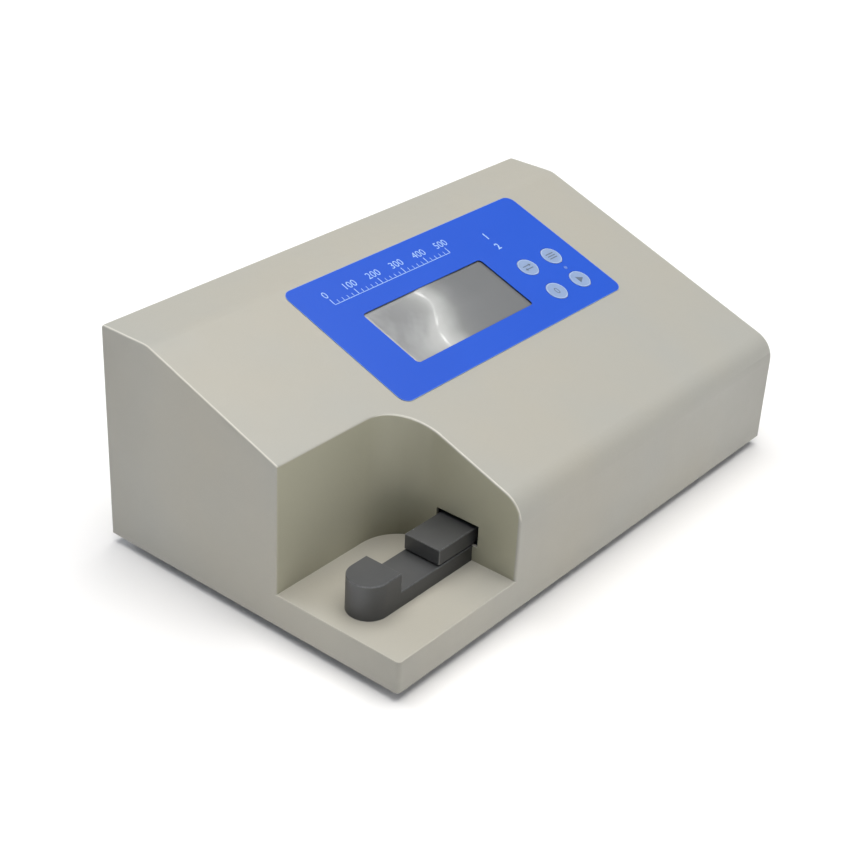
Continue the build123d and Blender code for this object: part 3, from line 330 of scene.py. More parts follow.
def mat_anodised(name, col):
    """Matt dark anodised aluminium: faint milling lay, lighter edges from worn anodising and a painted highlight,
    painted shade on the sides facing -Y, a few pale dust specks.
    """
    m, nt, b = new_mat(name)
    v0 = coords(nt)
    lay = noise(nt, coords(nt, scale=(0.05, 1, 1)), 2600.0, 4.0, 0.7)
    blot = noise(nt, v0, 70.0, 3.0, 0.6)
    c = mix_col(nt, remap(nt, blot, 0.3, 0.7, 0, 1), col, tuple(x * 0.86 for x in col))
    c = mix_col(nt, remap(nt, lay, 0.35, 0.7, 0, 0.3), c, tuple(x * 1.3 for x in col))
    # painted shade: the upright sides facing -Y are darkened, and more so at the bar's end by the wall
    p = node(nt, "ShaderNodeSeparateXYZ")
    nt.links.new(v0, p.inputs[0])
    g = node(nt, "ShaderNodeNewGeometry")
    s = node(nt, "ShaderNodeSeparateXYZ")
    nt.links.new(g.outputs["Normal"], s.inputs[0])
    side = remap(nt, s.outputs[1], -0.92, -0.45, 1.0, 0.0)
    c = mix_col(nt, math_n(nt, "MULTIPLY", side, remap(nt, blot, 0.3, 0.7, 0.85, 1.0)), c, tuple(x * 0.72 for x in col))
    wall_end_painted_shade = math_n(nt, "MULTIPLY", remap(nt, p.outputs[0], -0.116, -0.090, 0.0, 0.85), math_n(nt, "LESS_THAN", p.outputs[0], -0.0800))
    wall_end_painted_shade = math_n(nt, "MULTIPLY", wall_end_painted_shade, math_n(nt, "GREATER_THAN", p.outputs[2], 0.0240))
    wall_end_painted_shade = math_n(nt, "MULTIPLY", wall_end_painted_shade, math_n(nt, "LESS_THAN", p.outputs[2], 0.0343))
    c = mix_col(nt, math_n(nt, "MULTIPLY", side, wall_end_painted_shade), c, tuple(x * 0.36 for x in col))
    # lighter edges: partly worn anodising, partly a painted highlight along the chamfers
    e = math_n(nt, "MULTIPLY", edge_mask(nt, 0.0005), remap(nt, noise(nt, v0, 500.0, 2.0), 0.35, 0.6, 0.25, 0.8))
    c = mix_col(nt, math_n(nt, "MULTIPLY", e, 0.95), c, (0.34, 0.34, 0.35))
    cell = node(nt, "ShaderNodeTexVoronoi", feature="F1")
    cell.inputs["Scale"].default_value = 260.0
    nt.links.new(v0, cell.inputs["Vector"])
    rnd = node(nt, "ShaderNodeSeparateColor")
    nt.links.new(cell.outputs["Color"], rnd.inputs[0])
    dot = math_n(nt, "LESS_THAN", cell.outputs["Distance"], 0.075)
    rare = math_n(nt, "GREATER_THAN", rnd.outputs[0], 0.955)
    c = mix_col(nt, math_n(nt, "MULTIPLY", dot, rare), c, (0.62, 0.62, 0.64))
    put(nt, b, "Base Color", c)
    b.inputs["Metallic"].default_value = 0.35
    put(nt, b, "Roughness", remap(nt, lay, 0.3, 0.7, 0.40, 0.52))
    b.inputs["Specular IOR Level"].default_value = 1.0
    bump(nt, b, math_n(nt, "ADD", lay, math_n(nt, "MULTIPLY", noise(nt, v0, 3500.0, 1.0), 0.6)), 0.35, 0.00003)
    return m


def slope_uv(nt):
    """Slope coordinates u, v in millimetres from object coordinates in metres."""
    t = node(nt, "ShaderNodeTexCoord")
    s = node(nt, "ShaderNodeSeparateXYZ")
    nt.links.new(t.outputs["Object"], s.inputs[0])
    u = math_n(nt, "MULTIPLY", s.outputs[0], 1000.0)
    y = math_n(nt, "MULTIPLY", math_n(nt, "ADD", s.outputs[1], 0.1056), 1000.0 * CS)
    z = math_n(nt, "MULTIPLY", math_n(nt, "SUBTRACT", s.outputs[2], 0.0709), 1000.0 * SN)
    v = math_n(nt, "ADD", y, z)
    return u, v


def rounded_box_distance(nt, u, v, u0, u1, v0, v1, r):
    """Signed distance to a rounded rectangle, negative inside, in millimetres."""
    uc, vc = (u0 + u1) / 2, (v0 + v1) / 2
    hx, hy = (u1 - u0) / 2 - r, (v1 - v0) / 2 - r
    dx = math_n(nt, "SUBTRACT", math_n(nt, "ABSOLUTE", math_n(nt, "SUBTRACT", u, uc)), hx)
    dy = math_n(nt, "SUBTRACT", math_n(nt, "ABSOLUTE", math_n(nt, "SUBTRACT", v, vc)), hy)
    ax, ay = math_n(nt, "MAXIMUM", dx, 0.0), math_n(nt, "MAXIMUM", dy, 0.0)
    ln = math_n(nt, "SQRT", math_n(nt, "ADD", math_n(nt, "MULTIPLY", ax, ax), math_n(nt, "MULTIPLY", ay, ay)))
    inner = math_n(nt, "MINIMUM", math_n(nt, "MAXIMUM", dx, dy), 0.0)
    return math_n(nt, "SUBTRACT", math_n(nt, "ADD", ln, inner), r)


def mat_membrane(name, col, rim):
    """Blue printed polyester: a thin unprinted rim, fine matt grain, faint screen-print mottle."""
    m, nt, b = new_mat(name)
    u, v = slope_uv(nt)
    d = rounded_box_distance(nt, u, v, PU0, PU1, PV0, PV1, PR)
    edge = remap(nt, d, -0.30, -0.22, 0.0, 1.0)
    vec = coords(nt)
    big = noise(nt, vec, 14.0, 2.0, 0.5)
    fine = noise(nt, vec, 2400.0, 1.0, 0.5)
    c = mix_col(nt, remap(nt, big, 0.35, 0.65, 0, 1), col, tuple(x * k for x, k in zip(col, (0.93, 0.95, 0.97))))
    c = mix_col(nt, remap(nt, fine, 0.4, 0.7, 0, 0.10), c, tuple(x * 1.25 for x in col))
    c = mix_col(nt, edge, c, rim)
    put(nt, b, "Base Color", c)
    put(nt, b, "Roughness", remap(nt, fine, 0.3, 0.7, 0.38, 0.46))
    b.inputs["Specular IOR Level"].default_value = 0.3
    bump(nt, b, fine, 0.35, 0.000012)
    return m


def mat_back(name, dark, pale):
    """Circuit and adhesive layers: dark inside, a pale adhesive line along the outer edge."""
    m, nt, b = new_mat(name)
    u, v = slope_uv(nt)
    d = rounded_box_distance(nt, u, v, PU0, PU1, PV0, PV1, PR)
    vec = coords(nt)
    n = noise(nt, vec, 900.0, 2.0, 0.5)
    c = mix_col(nt, remap(nt, d, -4.0, -2.0, 0.0, 1.0), dark, pale)
    c = mix_col(nt, remap(nt, n, 0.35, 0.7, 0.0, 0.3), c, (0.06, 0.07, 0.10))
    put(nt, b, "Base Color", c)
    put(nt, b, "Roughness", remap(nt, n, 0.3, 0.7, 0.46, 0.58))
    bump(nt, b, n, 0.3, 0.00002)
    return m


def mat_key(name, col, centre):
    """Pale printed disc with a lighter ring round its edge."""
    m, nt, b = new_mat(name)
    u, v = slope_uv(nt)
    du = math_n(nt, "SUBTRACT", u, centre[0])
    dv = math_n(nt, "SUBTRACT", v, centre[1])
    r = math_n(nt, "SQRT", math_n(nt, "ADD", math_n(nt, "MULTIPLY", du, du), math_n(nt, "MULTIPLY", dv, dv)))
    ring = remap(nt, r, 6.0, 6.5, 0.0, 1.0)
    vec = coords(nt)
    big = noise(nt, vec, 130.0, 2.0)
    fine = noise(nt, vec, 2400.0, 1.0)
    c = mix_col(nt, remap(nt, big, 0.35, 0.65, 0, 1), col, tuple(x * 0.94 for x in col))
    c = mix_col(nt, remap(nt, fine, 0.4, 0.7, 0, 0.15), c, tuple(x * 0.88 for x in col))
    c = mix_col(nt, ring, c, (0.40, 0.52, 0.76))
    put(nt, b, "Base Color", c)
    put(nt, b, "Roughness", remap(nt, fine, 0.3, 0.7, 0.36, 0.46))
    b.inputs["Specular IOR Level"].default_value = 0.4
    bump(nt, b, fine, 0.3, 0.00001)
    return m


def mat_ink(name, col, rough=0.45):
    m, nt, b = new_mat(name)
    vec = coords(nt)
    fine = noise(nt, vec, 1600.0, 2.0)
    c = mix_col(nt, remap(nt, fine, 0.35, 0.7, 0, 0.35), col, tuple(x * 0.82 for x in col))
    put(nt, b, "Base Color", c)
    put(nt, b, "Roughness", remap(nt, fine, 0.3, 0.7, rough - 0.05, rough + 0.05))
    bump(nt, b, fine, 0.2, 0.00001)
    return m


def haze_and_glare_stop(d, k):
    """A stop of the film's haze and painted glare: distance from the crease in millimetres, paleness."""
    return (d + 45.0) / 120.0, (k * 1.0, k * 0.995, k * (0.965 if k < 0.24 else 0.935))


HAZE_AND_GLARE = [haze_and_glare_stop(*x) for x in (
    (-44.0, 0.204), (-24.0, 0.226), (-10.0, 0.305), (-3.0, 0.370), (0.5, 0.445), (4.0, 0.430), (8.0, 0.375),
    (11.0, 0.300), (14.0, 0.240), (18.0, 0.218), (24.0, 0.200), (32.0, 0.187), (74.0, 0.168))]


def mat_film(name):
    """Grey display under its loose protective film, hazier where the film has lifted, left of the crease, with a
    painted glare along the crease in its base colour.
    """
    m, nt, b = new_mat(name)
    u, v = slope_uv(nt)
    curve = node(nt, "ShaderNodeFloatCurve")
    pts = curve.mapping.curves[0].points
    knots = sorted((((vv - 98.0) / 52.0, (uu + 30.0) / 40.0) for uu, vv in STREAK))
    pts[0].location = knots[0]
    pts[1].location = knots[-1]
    for k in knots[1:-1]:
        pts.new(*k)
    curve.mapping.update()
    nt.links.new(remap(nt, v, 98.0, 150.0, 0.0, 1.0), curve.inputs["Value"])
    su = math_n(nt, "SUBTRACT", math_n(nt, "MULTIPLY", curve.outputs[0], 40.0), 30.0)
    d = math_n(nt, "SUBTRACT", u, su)
    vec = coords(nt)
    big = noise(nt, vec, 34.0, 2.0, 0.5)
    fine = noise(nt, vec, 900.0, 2.0, 0.5)
    # haze of the lifted film and painted glare of the crease, across the crease
    ramp = node(nt, "ShaderNodeValToRGB")
    ramp.color_ramp.interpolation = "B_SPLINE"
    el = ramp.color_ramp.elements
    el[0].position, el[0].color = HAZE_AND_GLARE[0][0], (*HAZE_AND_GLARE[0][1], 1)
    el[1].position, el[1].color = HAZE_AND_GLARE[-1][0], (*HAZE_AND_GLARE[-1][1], 1)
    for pos, col in HAZE_AND_GLARE[1:-1]:
        e = el.new(pos)
        e.color = (*col, 1)
    # the haze and painted glare fade away faster beside the upper fold than beside the lower one
    ahead = math_n(nt, "MULTIPLY", math_n(nt, "MAXIMUM", d, 0.0), remap(nt, v, 123.0, 131.0, 0.72, 1.0))
    spread = math_n(nt, "ADD", math_n(nt, "MINIMUM", d, 0.0), ahead)
    wob = math_n(nt, "ADD", spread, remap(nt, big, 0.3, 0.7, -1.4, 1.4))
    nt.links.new(remap(nt, wob, -45.0, 75.0, 0.0, 1.0), ramp.inputs[0])
    right = node(nt, "ShaderNodeMapRange", interpolation_type="SMOOTHSTEP")
    for i, x in enumerate((2.0, 24.0, 0.0, 1.0)):
        right.inputs[i + 1].default_value = x
    nt.links.new(d, right.inputs[0])
    left = math_n(nt, "SUBTRACT", 1.0, right.outputs[0])
    # faint long wrinkles beside the crease, lightened in the colour as haze and painted sheen
    lane = node(nt, "ShaderNodeCombineXYZ")
    nt.links.new(math_n(nt, "MULTIPLY", d, 0.12), lane.inputs[0])
    nt.links.new(math_n(nt, "MULTIPLY", v, 0.034), lane.inputs[1])
    lines = noise(nt, lane.outputs[0], 1.0, 1.0, 0.5)
    cloud = noise(nt, vec, 62.0, 2.0, 0.5)
    wrinkle_haze_and_sheen = math_n(nt, "MULTIPLY", remap(nt, math_n(nt, "ADD", math_n(nt, "MULTIPLY", lines, 0.45), math_n(nt, "MULTIPLY", cloud, 0.55)), 0.40, 0.64, 0.0, 0.26), left)
    c = mix_col(nt, wrinkle_haze_and_sheen, ramp.outputs[0], (0.62, 0.62, 0.60))
    # haze and painted glare left of the crease near its foot
    foot_haze_and_glare = math_n(nt, "MULTIPLY", remap(nt, v, 124.0, 108.0, 0.0, 0.13), remap(nt, d, -14.0, -4.0, 1.0, 0.0))
    c = mix_col(nt, foot_haze_and_glare, c, (0.60, 0.60, 0.575))
    # a broad painted glow round the lower fold
    limit = remap(nt, v, 113.0, 124.0, -11.0, -3.0)
    near = math_n(nt, "SUBTRACT", d, limit)
    cushion_glare = math_n(nt, "MULTIPLY", remap(nt, near, -4.0, 3.0, 0.0, 1.0), remap(nt, d, 1.0, 13.0, 1.0, 0.0))
    cushion_glare = math_n(nt, "MULTIPLY", cushion_glare, remap(nt, v, 129.0, 119.0, 0.0, 0.34))
    c = mix_col(nt, cushion_glare, c, (0.62, 0.615, 0.575))
    put(nt, b, "Base Color", c)
    rough = math_n(nt, "SUBTRACT", 0.42, math_n(nt, "MULTIPLY", right.outputs[0], 0.12))
    put(nt, b, "Roughness", math_n(nt, "ADD", rough, remap(nt, fine, 0.3, 0.7, -0.02, 0.02)))
    b.inputs["Specular IOR Level"].default_value = 0.8
    b.inputs["Coat Weight"].default_value = 1.0
    b.inputs["Coat IOR"].default_value = 1.7
    b.inputs["Coat Roughness"].default_value = 0.22
    bump(nt, b, math_n(nt, "MULTIPLY", lines, left), 0.15, 0.0002)
    return m


def mat_glass(name, col, rough=0.06):
    m, nt, b = new_mat(name)
    vec = coords(nt)
    n = noise(nt, vec, 120.0, 3.0)
    put(nt, b, "Base Color", mix_col(nt, remap(nt, n, 0.35, 0.65, 0, 1), col, tuple(x * 0.95 for x in col)))
    put(nt, b, "Roughness", remap(nt, n, 0.3, 0.7, rough, rough + 0.05))
    b.inputs["Specular IOR Level"].default_value = 0.6
    bump(nt, b, n, 0.1, 0.00002)
    return m


def mat_board(name):
    """Green solder mask with copper tracks, pads and vias."""
    m, nt, b = new_mat(name)
    vec = coords(nt)
    br = node(nt, "ShaderNodeTexBrick")
    br.inputs["Scale"].default_value = 90.0
    br.inputs["Mortar Size"].default_value = 0.035
    br.inputs["Color1"].default_value = (0.012, 0.11, 0.045, 1)
    br.inputs["Color2"].default_value = (0.010, 0.095, 0.04, 1)
    br.inputs["Mortar"].default_value = (0.03, 0.19, 0.07, 1)
    nt.links.new(vec, br.inputs["Vector"])
    vo = node(nt, "ShaderNodeTexVoronoi", feature="F1")
    vo.inputs["Scale"].default_value = 230.0
    nt.links.new(vec, vo.inputs["Vector"])
    pad = math_n(nt, "LESS_THAN", vo.outputs["Distance"], 0.16)
    c = mix_col(nt, pad, br.outputs["Color"], (0.55, 0.50, 0.36))
    put(nt, b, "Base Color", c)
    fine = noise(nt, vec, 700.0, 2.0)
    put(nt, b, "Roughness", remap(nt, fine, 0.3, 0.7, 0.28, 0.4))
    bump(nt, b, fine, 0.2, 0.00002)
    return m


def mat_floor(name, col):
    m, nt, b = new_mat(name)
    vec = coords(nt)
    n = noise(nt, vec, 3.0, 3.0)
    put(nt, b, "Base Color", mix_col(nt, remap(nt, n, 0.3, 0.7, 0, 1), col, tuple(x * 0.995 for x in col)))
    b.inputs["Roughness"].default_value = 0.9
    b.inputs["Specular IOR Level"].default_value = 0.1
    return m


PAINT = mat_paint("housing_paint", (0.450, 0.432, 0.376))
ANOD = mat_anodised("anodised_dark", (0.078, 0.079, 0.079))
BLUE = mat_membrane("membrane_blue", (0.0145, 0.091, 0.575), (0.14, 0.26, 0.70))
BACK = mat_back("membrane_back", (0.05, 0.055, 0.075), (0.30, 0.36, 0.50))
ZINC = mat_metal("zinc_plate", (0.60, 0.61, 0.62), 0.34, (1, 0.04, 1), 1400.0)
SCREW = mat_metal("screw_zinc", (0.62, 0.63, 0.64), 0.28, (1, 1, 0.2), 2200.0)
BLACKSCREW = mat_metal("screw_black", (0.05, 0.05, 0.055), 0.38, (1, 1, 0.2), 2200.0, metallic=0.7)
ALU = mat_metal("aluminium_milled", (0.74, 0.75, 0.76), 0.30, (0.05, 1, 1), 1500.0)
STEEL = mat_metal("steel_ground", (0.56, 0.56, 0.58), 0.22, (0.04, 1, 1), 2600.0)
BRASS = mat_metal("brass_turned", (0.78, 0.58, 0.26), 0.26, (0.2, 1, 1), 2000.0)
MOTOR = mat_metal("motor_metal", (0.10, 0.10, 0.11), 0.42, (2.5, 0.1, 0.1), 1500.0, depth=0.00006, metallic=0.6)
BLACK = mat_plastic("switch_black", (0.026, 0.026, 0.027), 0.44, 2200.0, 0.00003)
INLET = mat_plastic("inlet_black", (0.022, 0.022, 0.024), 0.52, 1500.0, 0.00006)
RUBBER = mat_plastic("rubber_black", (0.022, 0.021, 0.020), 0.78, 900.0, 0.00010, 0.3, 0.3)
LED = mat_plastic("led_lens", (0.130, 0.235, 0.66), 0.36, 700.0, 0.00001, 0.08, 0.35)
LCD = mat_glass("lcd_panel", (0.21, 0.22, 0.20))
BEZEL = mat_plastic("bezel_black", (0.03, 0.03, 0.03), 0.4, 1600.0)
BOARD = mat_board("board_green")
SPACER = mat_metal("spacer_nickel", (0.72, 0.66, 0.50), 0.28, (1, 1, 0.2), 1800.0)
RIBBON = mat_plastic("ribbon_grey", (0.40, 0.41, 0.43), 0.5, 600.0, 0.00006)
CASE = mat_metal("supply_case", (0.68, 0.69, 0.70), 0.36, (1, 0.05, 1), 1200.0)
FUSE = mat_glass("fuse_glass", (0.72, 0.74, 0.75), 0.1)
PORT = mat_metal("port_shell", (0.66, 0.66, 0.66), 0.24, (1, 1, 1), 1300.0)
INK_PALE = mat_ink("ink_pale", (0.38, 0.57, 0.87))
INK_DARK = mat_ink("ink_dark", (0.125, 0.165, 0.225))
INK_WHITE = mat_ink("ink_white", (0.75, 0.75, 0.75))
FILM = mat_film("window_film")

BY_SLOT = {
    "housing_paint": PAINT, "zinc_plate": ZINC, "rubber_black": RUBBER, "screw_zinc": SCREW,
    "screw_black": BLACKSCREW, "anodised_dark": ANOD, "aluminium_milled": ALU, "steel_ground": STEEL,
    "brass_nut": BRASS, "motor_metal": MOTOR, "switch_black": BLACK, "inlet_black": INLET,
    "membrane_blue": BLUE, "membrane_back": BACK, "led_lens": LED, "window_film": FILM, "lcd_panel": LCD,
    "bezel_black": BEZEL, "board_green": BOARD, "spacer_brass": SPACER, "ribbon_grey": RIBBON,
    "supply_case": CASE, "fuse_glass": FUSE, "port_shell": PORT,
}


def paint_node(obj, mat):
    obj.data.materials.clear()
    obj.data.materials.append(mat)


for sp in frame["record"]["subparts"]:
    n, s = sp["node"], sp["material_slot"]
    if n in nodes and s in BY_SLOT:
        paint_node(nodes[n], BY_SLOT[s])
for k, c in KEYS.items():
    paint_node(nodes[k], mat_key("key_face_" + k[4:], (0.285, 0.380, 0.575), c))


# ---------------------------------------------------------------------------
# piece helpers
# ---------------------------------------------------------------------------
def finish_piece(name, bm, mat, body, smooth=False, normals=True):
    if normals:
        bmesh.ops.recalc_face_normals(bm, faces=bm.faces)
    me = bpy.data.meshes.new(name)
    bm.to_mesh(me)
    bm.free()
    me.materials.append(mat)
    o = bpy.data.objects.new(name, me)
    scene.collection.objects.link(o)
    if smooth:
        for p in me.polygons:
            p.use_smooth = True
    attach(o, body)
    return o


def add_prism(bm, pts, w0, w1, mat4=SLOPE):
    """Closed prism from a 2-D outline in slope millimetres."""
    lo = [bm.verts.new(mat4 @ Vector((x, y, w0))) for x, y in pts]
    hi = [bm.verts.new(mat4 @ Vector((x, y, w1))) for x, y in pts]
    n = len(pts)
    bm.faces.new(list(reversed(lo)))
    bm.faces.new(hi)
    for i in range(n):
        bm.faces.new((lo[i], lo[(i + 1) % n], hi[(i + 1) % n], hi[i]))


def bar_pts(x0, y0, x1, y1, t, caps=5):
    """Outline of a stroke with round ends."""
    dx, dy = x1 - x0, y1 - y0
    a = math.atan2(dy, dx)
    pts = []
    for i in range(caps + 1):
        q = a - math.pi / 2 + math.pi * i / caps
        pts.append((x1 + t / 2 * math.cos(q), y1 + t / 2 * math.sin(q)))
    for i in range(caps + 1):
        q = a + math.pi / 2 + math.pi * i / caps
        pts.append((x0 + t / 2 * math.cos(q), y0 + t / 2 * math.sin(q)))
    return pts


def text_piece(name, words, u, v, w, height, mat, body, mat4=SLOPE, thick=0.03, align="CENTER", bold=-0.035):
    """Plain numerals as a thin printed solid. height is the cap height in millimetres."""
    cu = bpy.data.curves.new(name + "_c", "FONT")
    cu.body = words
    cu.align_x = align
    cu.size = height / 0.70
    cu.offset = bold
    cu.extrude = thick / 2
    cu.resolution_u = 6
    tmp = bpy.data.objects.new(name + "_t", cu)
    scene.collection.objects.link(tmp)
    bpy.context.view_layer.update()
    dg = bpy.context.evaluated_depsgraph_get()
    me = bpy.data.meshes.new_from_object(tmp.evaluated_get(dg))
    bpy.data.objects.remove(tmp)
    bpy.data.curves.remove(cu)
    me.name = name
    me.transform(Matrix.Translation((u, v, w + thick / 2)))
    me.transform(mat4)
    bm = bmesh.new()
    bm.from_mesh(me)
    bpy.data.meshes.remove(me)
    bmesh.ops.remove_doubles(bm, verts=bm.verts, dist=1e-7)
    return finish_piece(name, bm, mat, body)


# ---------------------------------------------------------------------------
# printing on the panel: a plain force scale and two plain numbers
# ---------------------------------------------------------------------------
bm = bmesh.new()
for i in range(26):
    x = -59.65 + i * 3.998
    if x > 41:
        break
    major = i % 5 == 0
    add_prism(bm, bar_pts(x, 159.3, x, 163.1 if major else 161.3, 0.56 if major else 0.38, 4), SKIN_TOP, SKIN_TOP + 0.03)
add_prism(bm, bar_pts(-59.65, 158.7, 40.3, 158.7, 0.38, 4), SKIN_TOP, SKIN_TOP + 0.03)
finish_piece("scale_ticks", bm, INK_PALE, "housing")
for i, words in enumerate(("0", "100", "200", "300", "400", "500")):
    text_piece("scale_number_" + words, words, -59.65 + 19.99 * i, 164.7, SKIN_TOP, 5.0, INK_PALE, "housing")
text_piece("range_mark_1", "1", 74.4, 156.1, SKIN_TOP, 5.4, INK_PALE, "housing", bold=0.08)
text_piece("range_mark_2", "2", 74.4, 146.3, SKIN_TOP, 5.0, INK_PALE, "housing", bold=0.08)

# key symbols
ku, kv = KEYS["key_upper_left"]
bm = bmesh.new()
for s, dy in ((1, 1.3), (-1, -1.3)):
    add_prism(bm, bar_pts(ku - 3.2 * s, kv + dy, ku + 2.0 * s, kv + dy, 0.7, 4), KEY_TOP, KEY_TOP + 0.03)
    tri = [(ku + 3.9 * s, kv + dy), (ku + 1.9 * s, kv + dy + 1.15), (ku + 1.9 * s, kv + dy - 1.15)]
    add_prism(bm, tri if s > 0 else tri[::-1], KEY_TOP, KEY_TOP + 0.03)
finish_piece("symbol_swap", bm, INK_DARK, "key_upper_left")
ku, kv = KEYS["key_upper_right"]
bm = bmesh.new()
for dy in (-1.9, 0.0, 1.9):
    add_prism(bm, bar_pts(ku - 3.2, kv + dy, ku + 3.2, kv + dy, 0.75, 4), KEY_TOP, KEY_TOP + 0.03)
finish_piece("symbol_list", bm, INK_DARK, "key_upper_right")
ku, kv = KEYS["key_lower_left"]
text_piece("symbol_zero", "0", ku, kv - 2.4, KEY_TOP, 4.8, INK_DARK, "key_lower_left")
ku, kv = KEYS["key_lower_right"]
bm = bmesh.new()
add_prism(bm, [(ku - 2.0, kv - 2.7), (ku + 3.0, kv), (ku - 2.0, kv + 2.7)], KEY_TOP, KEY_TOP + 0.03)
finish_piece("symbol_run", bm, INK_DARK, "key_lower_right")


# ---------------------------------------------------------------------------
# display film: loose, with a crease running down it
# ---------------------------------------------------------------------------
def streak_u(v):
    """Smooth curve through the knots (cubic Hermite, slopes from the neighbouring knots)."""
    pts = STREAK
    v = max(pts[-1][1], min(pts[0][1], v))
    slope = []
    for i in range(len(pts)):
        a, b = pts[max(0, i - 1)], pts[min(len(pts) - 1, i + 1)]
        slope.append((b[0] - a[0]) / (b[1] - a[1]))
    for i in range(len(pts) - 1):
        (ua, va), (ub, vb) = pts[i], pts[i + 1]
        if va >= v >= vb:
            h = vb - va
            t = (v - va) / h
            return (ua * (2 * t ** 3 - 3 * t * t + 1) + h * slope[i] * (t ** 3 - 2 * t * t + t)
                    + ub * (3 * t * t - 2 * t ** 3) + h * slope[i + 1] * (t ** 3 - t * t))
    return pts[-1][0]


def tilt_core(d):
    """Lean of the sharp fold, in degrees: up over a millimetre or two, back down over a dozen."""
    t = 13.0 * math.exp(-(d / 0.8) ** 2)
    if 3.0 < d < 15.0:
        t -= 1.56 * math.sin(math.pi * (d - 3.0) / 12.0) * 1.57
    return t


def tilt_broad(d):
    """Lean of the broad swell on either side of the fold, in degrees."""
    if d > 0:
        return 2.6 * math.exp(-(d / 7.0) ** 2) - 0.9 * max(0.0, min(1.0, (d - 8.0) / 10.0))
    return 2.6 * math.exp(-(d / 4.0) ** 2)


def profile(lean):
    out = [0.0]
    for i in range(1, 3201):
        out.append(max(0.0, out[-1] + 0.05 * math.tan(math.radians(lean(-60.0 + 0.05 * i)))))
    return out


CORE, BROAD = profile(tilt_core), profile(tilt_broad)


def fold_strength(v):
    """How sharp the fold is at height v: strongest near its top, at the bend and near the bottom."""
    return max(0.0, 0.15 + 0.95 * math.exp(-((v - 141.3) / 2.6) ** 2) + 0.95 * math.exp(-((v - 122.4) / 3.2) ** 2)
               + 0.40 * math.exp(-((v - 107.5) / 4.0) ** 2) - 0.30 * math.exp(-((v - 116.0) / 2.4) ** 2))


def film_height(u, v):
    d = u - streak_u(v)
    x = (d + 60.0) / 0.05
    i = max(0, min(len(CORE) - 2, int(x)))
    h = fold_strength(v) * (CORE[i] + (CORE[i + 1] - CORE[i]) * (x - i)) + BROAD[i] + (BROAD[i + 1] - BROAD[i]) * (x - i)
    e = max(0.0, min(1.0, min(u - WU0 + 1.0, WU1 + 1.0 - u) / 8.0))
    h *= e * e * (3 - 2 * e)
    h *= 0.92 + 0.08 * math.sin(v * 0.35 + 0.5)
    h += 0.025 * math.sin(u * 0.16 + v * 0.07) * math.sin(v * 0.11 + 0.6) * e
    # the film is pressed down along the window's rim
    rim = min(u - WU0 + 1.0, WU1 + 1.0 - u, v - WV0 + 1.0, WV1 + 1.0 - v)
    r = max(0.0, 1.0 - rim / 3.4)
    return 0.06 + max(0.0, h) - 0.40 * r * r


bm = bmesh.new()
NL, NR, NV = 90, 130, 88
NU = NL + NR
UA, UB, VA, VB = WU0 - 1.0, WU1 + 1.0, WV0 - 1.0, WV1 + 1.0
grid = []
for j in range(NV + 1):
    v = VA + (VB - VA) * j / NV
    su = streak_u(v)
    row = []
    for i in range(NU + 1):
        if i <= NL:
            u = su + (UA - su) * (1 - i / NL) ** 1.7
        else:
            u = su + (UB - su) * ((i - NL) / NR) ** 1.7
        row.append(bm.verts.new(SLOPE @ Vector((u, v, FILM_BASE + film_height(u, v)))))
    grid.append(row)
for j in range(NV):
    for i in range(NU):
        bm.faces.new((grid[j][i], grid[j][i + 1], grid[j + 1][i + 1], grid[j + 1][i]))
low = []
border = ([grid[0][i] for i in range(NU + 1)] + [grid[j][NU] for j in range(1, NV + 1)]
          + [grid[NV][i] for i in range(NU - 1, -1, -1)] + [grid[j][0] for j in range(NV - 1, 0, -1)])
INV = SLOPE.inverted()
for vtx in border:
    p = INV @ vtx.co
    low.append(bm.verts.new(SLOPE @ Vector((p.x, p.y, -1.3))))
for i in range(len(border)):
    j = (i + 1) % len(border)
    bm.faces.new((border[j], border[i], low[i], low[j]))
bm.faces.new(low)
film = finish_piece("window_film", bm, FILM, "housing", smooth=True)
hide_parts("display_window")
for p in film.data.polygons:
    if len(p.vertices) > 4 or abs(p.normal.dot(Vector((0, -SN, CS)))) < 0.5:
        p.use_smooth = False

# ---------------------------------------------------------------------------
# marks on the mains rocker: a stroke and a ring
# ---------------------------------------------------------------------------
TILT = math.radians(7.0)


def rocker_frame(side):
    """Millimetre frame on the rocker's upper (+1) or lower (-1) face; x to the viewer's right from behind."""
    za, ya = 0.0, 4.7
    zb, yb = 8.0 * side, 5.6
    turn = lambda z, y: (z * math.cos(TILT) - y * math.sin(TILT), z * math.sin(TILT) + y * math.cos(TILT))
    (za, ya), (zb, yb) = turn(za, ya), turn(zb, yb)
    mid = Vector((0.095, 0.0986 + (ya + yb) / 2 * MM, 0.042 + (za + zb) / 2 * MM))
    up = Vector((0, yb - ya, zb - za)).normalized() * side
    right = Vector((-1, 0, 0))
    out = right.cross(up)
    if out.y < 0:
        out = -out
    m = Matrix((right * MM, up * MM, out * MM)).transposed().to_4x4()
    m.translation = mid
    return m


bm = bmesh.new()
add_prism(bm, bar_pts(0, -1.7, 0, 1.7, 0.8, 4), 0.0, 0.03, rocker_frame(1))
finish_piece("rocker_mark_on", bm, INK_WHITE, "power_rocker")
bm = bmesh.new()
mt = rocker_frame(-1)
SEG = 36
rings = []
for w in (0.0, 0.03):
    for r in (1.3, 2.0):
        rings.append([bm.verts.new(mt @ Vector((r * math.cos(2 * math.pi * i / SEG), r * math.sin(2 * math.pi * i / SEG), w))) for i in range(SEG)])
for i in range(SEG):
    j = (i + 1) % SEG
    bm.faces.new((rings[2][i], rings[3][i], rings[3][j], rings[2][j]))
    bm.faces.new((rings[0][j], rings[1][j], rings[1][i], rings[0][i]))
    bm.faces.new((rings[1][i], rings[1][j], rings[3][j], rings[3][i]))
    bm.faces.new((rings[0][j], rings[0][i], rings[2][i], rings[2][j]))
finish_piece("rocker_mark_off", bm, INK_WHITE, "power_rocker")

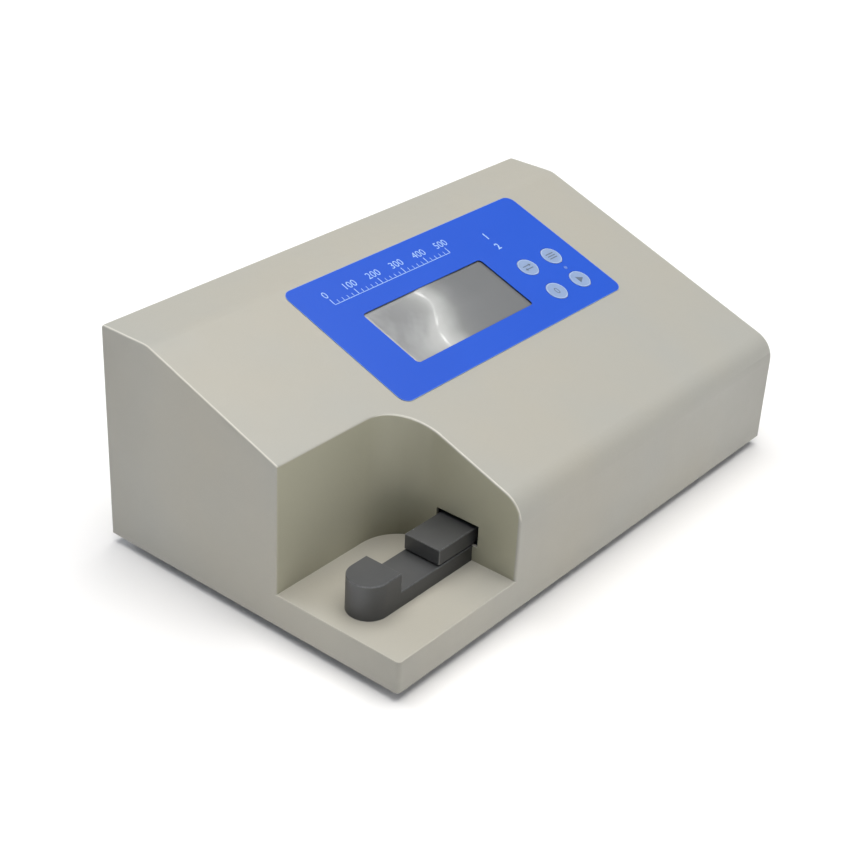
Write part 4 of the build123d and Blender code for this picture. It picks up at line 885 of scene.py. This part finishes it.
# ---------------------------------------------------------------------------
# stage, light, camera
# ---------------------------------------------------------------------------
FLOOR_COL = (0.935, 0.915, 0.885)
bm = bmesh.new()
FLOOR_R = 2.3
vs = [bm.verts.new((FLOOR_R * math.cos(math.radians(5 * i)), FLOOR_R * math.sin(math.radians(5 * i)), -0.00005)) for i in range(72)]
bm.faces.new(vs)
me = bpy.data.meshes.new("floor")
bm.to_mesh(me)
bm.free()
me.materials.append(mat_floor("floor_pale", FLOOR_COL))
floor = bpy.data.objects.new("floor", me)
scene.collection.objects.link(floor)

world = bpy.data.worlds.new("studio")
scene.world = world
world.use_nodes = True
bg = world.node_tree.nodes["Background"]
bg.inputs[0].default_value = (0.56, 0.74, 1.0, 1.0)
bg.inputs[1].default_value = 0.140
# the studio's pale wall is seen behind the floor; it adds nothing to the light on the object
wn = world.node_tree
wall = wn.nodes.new("ShaderNodeBackground")
wall.inputs[0].default_value = (1.0, 1.0, 1.0, 1.0)
wall.inputs[1].default_value = 1.0
path = wn.nodes.new("ShaderNodeLightPath")
both = wn.nodes.new("ShaderNodeMixShader")
wn.links.new(path.outputs["Is Camera Ray"], both.inputs[0])
wn.links.new(bg.outputs[0], both.inputs[1])
wn.links.new(wall.outputs[0], both.inputs[2])
wn.links.new(both.outputs[0], wn.nodes["World Output"].inputs[0])


def area(name, loc, target, size, power, col=(1, 1, 1)):
    li = bpy.data.lights.new(name, "AREA")
    li.energy = power
    li.color = col
    li.size = size
    o = bpy.data.objects.new(name, li)
    scene.collection.objects.link(o)
    o.location = loc
    o.rotation_euler = (Vector(target) - Vector(loc)).to_track_quat("-Z", "Y").to_euler()
    return o


area("key_top", (0.32, -0.12, 3.8), (0, 0, 0), 4.0, 190.0, (1.0, 0.99, 0.975))
area("rim_back", (-0.6, 3.8, 1.6), (-0.1, 0, 0), 2.0, 60.0, (0.93, 0.97, 1.06))
area("fill_left", (-2.4, -0.3, 3.4), (0, 0, 0), 3.2, 14.4, (1.0, 0.972, 1.0))
area("fill_front", (0.4, -4.0, 1.8), (0, 0, 0.06), 3.2, 22.4, (1.0, 0.985, 1.01))

cam_data = bpy.data.cameras.new("camera")
cam = bpy.data.objects.new("camera", cam_data)
scene.collection.objects.link(cam)
AZ, EL, ROLL = math.radians(-51.93), math.radians(29.651), math.radians(3.088)
back = Vector((math.sin(AZ) * math.cos(EL), -math.cos(AZ) * math.cos(EL), math.sin(EL)))
cx = Vector((0, 0, 1)).cross(back).normalized()
cy = back.cross(cx)
x2 = cx * math.cos(ROLL) + cy * math.sin(ROLL)
y2 = -cx * math.sin(ROLL) + cy * math.cos(ROLL)
mw = Matrix((x2, y2, back)).transposed().to_4x4()
mw.translation = Vector((-0.670149, -0.501223, 0.517959))
cam.matrix_world = mw
cam_data.sensor_fit = "HORIZONTAL"
cam_data.sensor_width = 36.0
cam_data.lens = 70.212
cam_data.clip_start = 0.05
cam_data.clip_end = 50.0
scene.camera = cam

scene.view_settings.view_transform = "Standard"
scene.view_settings.look = "None"
scene.view_settings.exposure = 0.0
scene.view_settings.gamma = 1.0
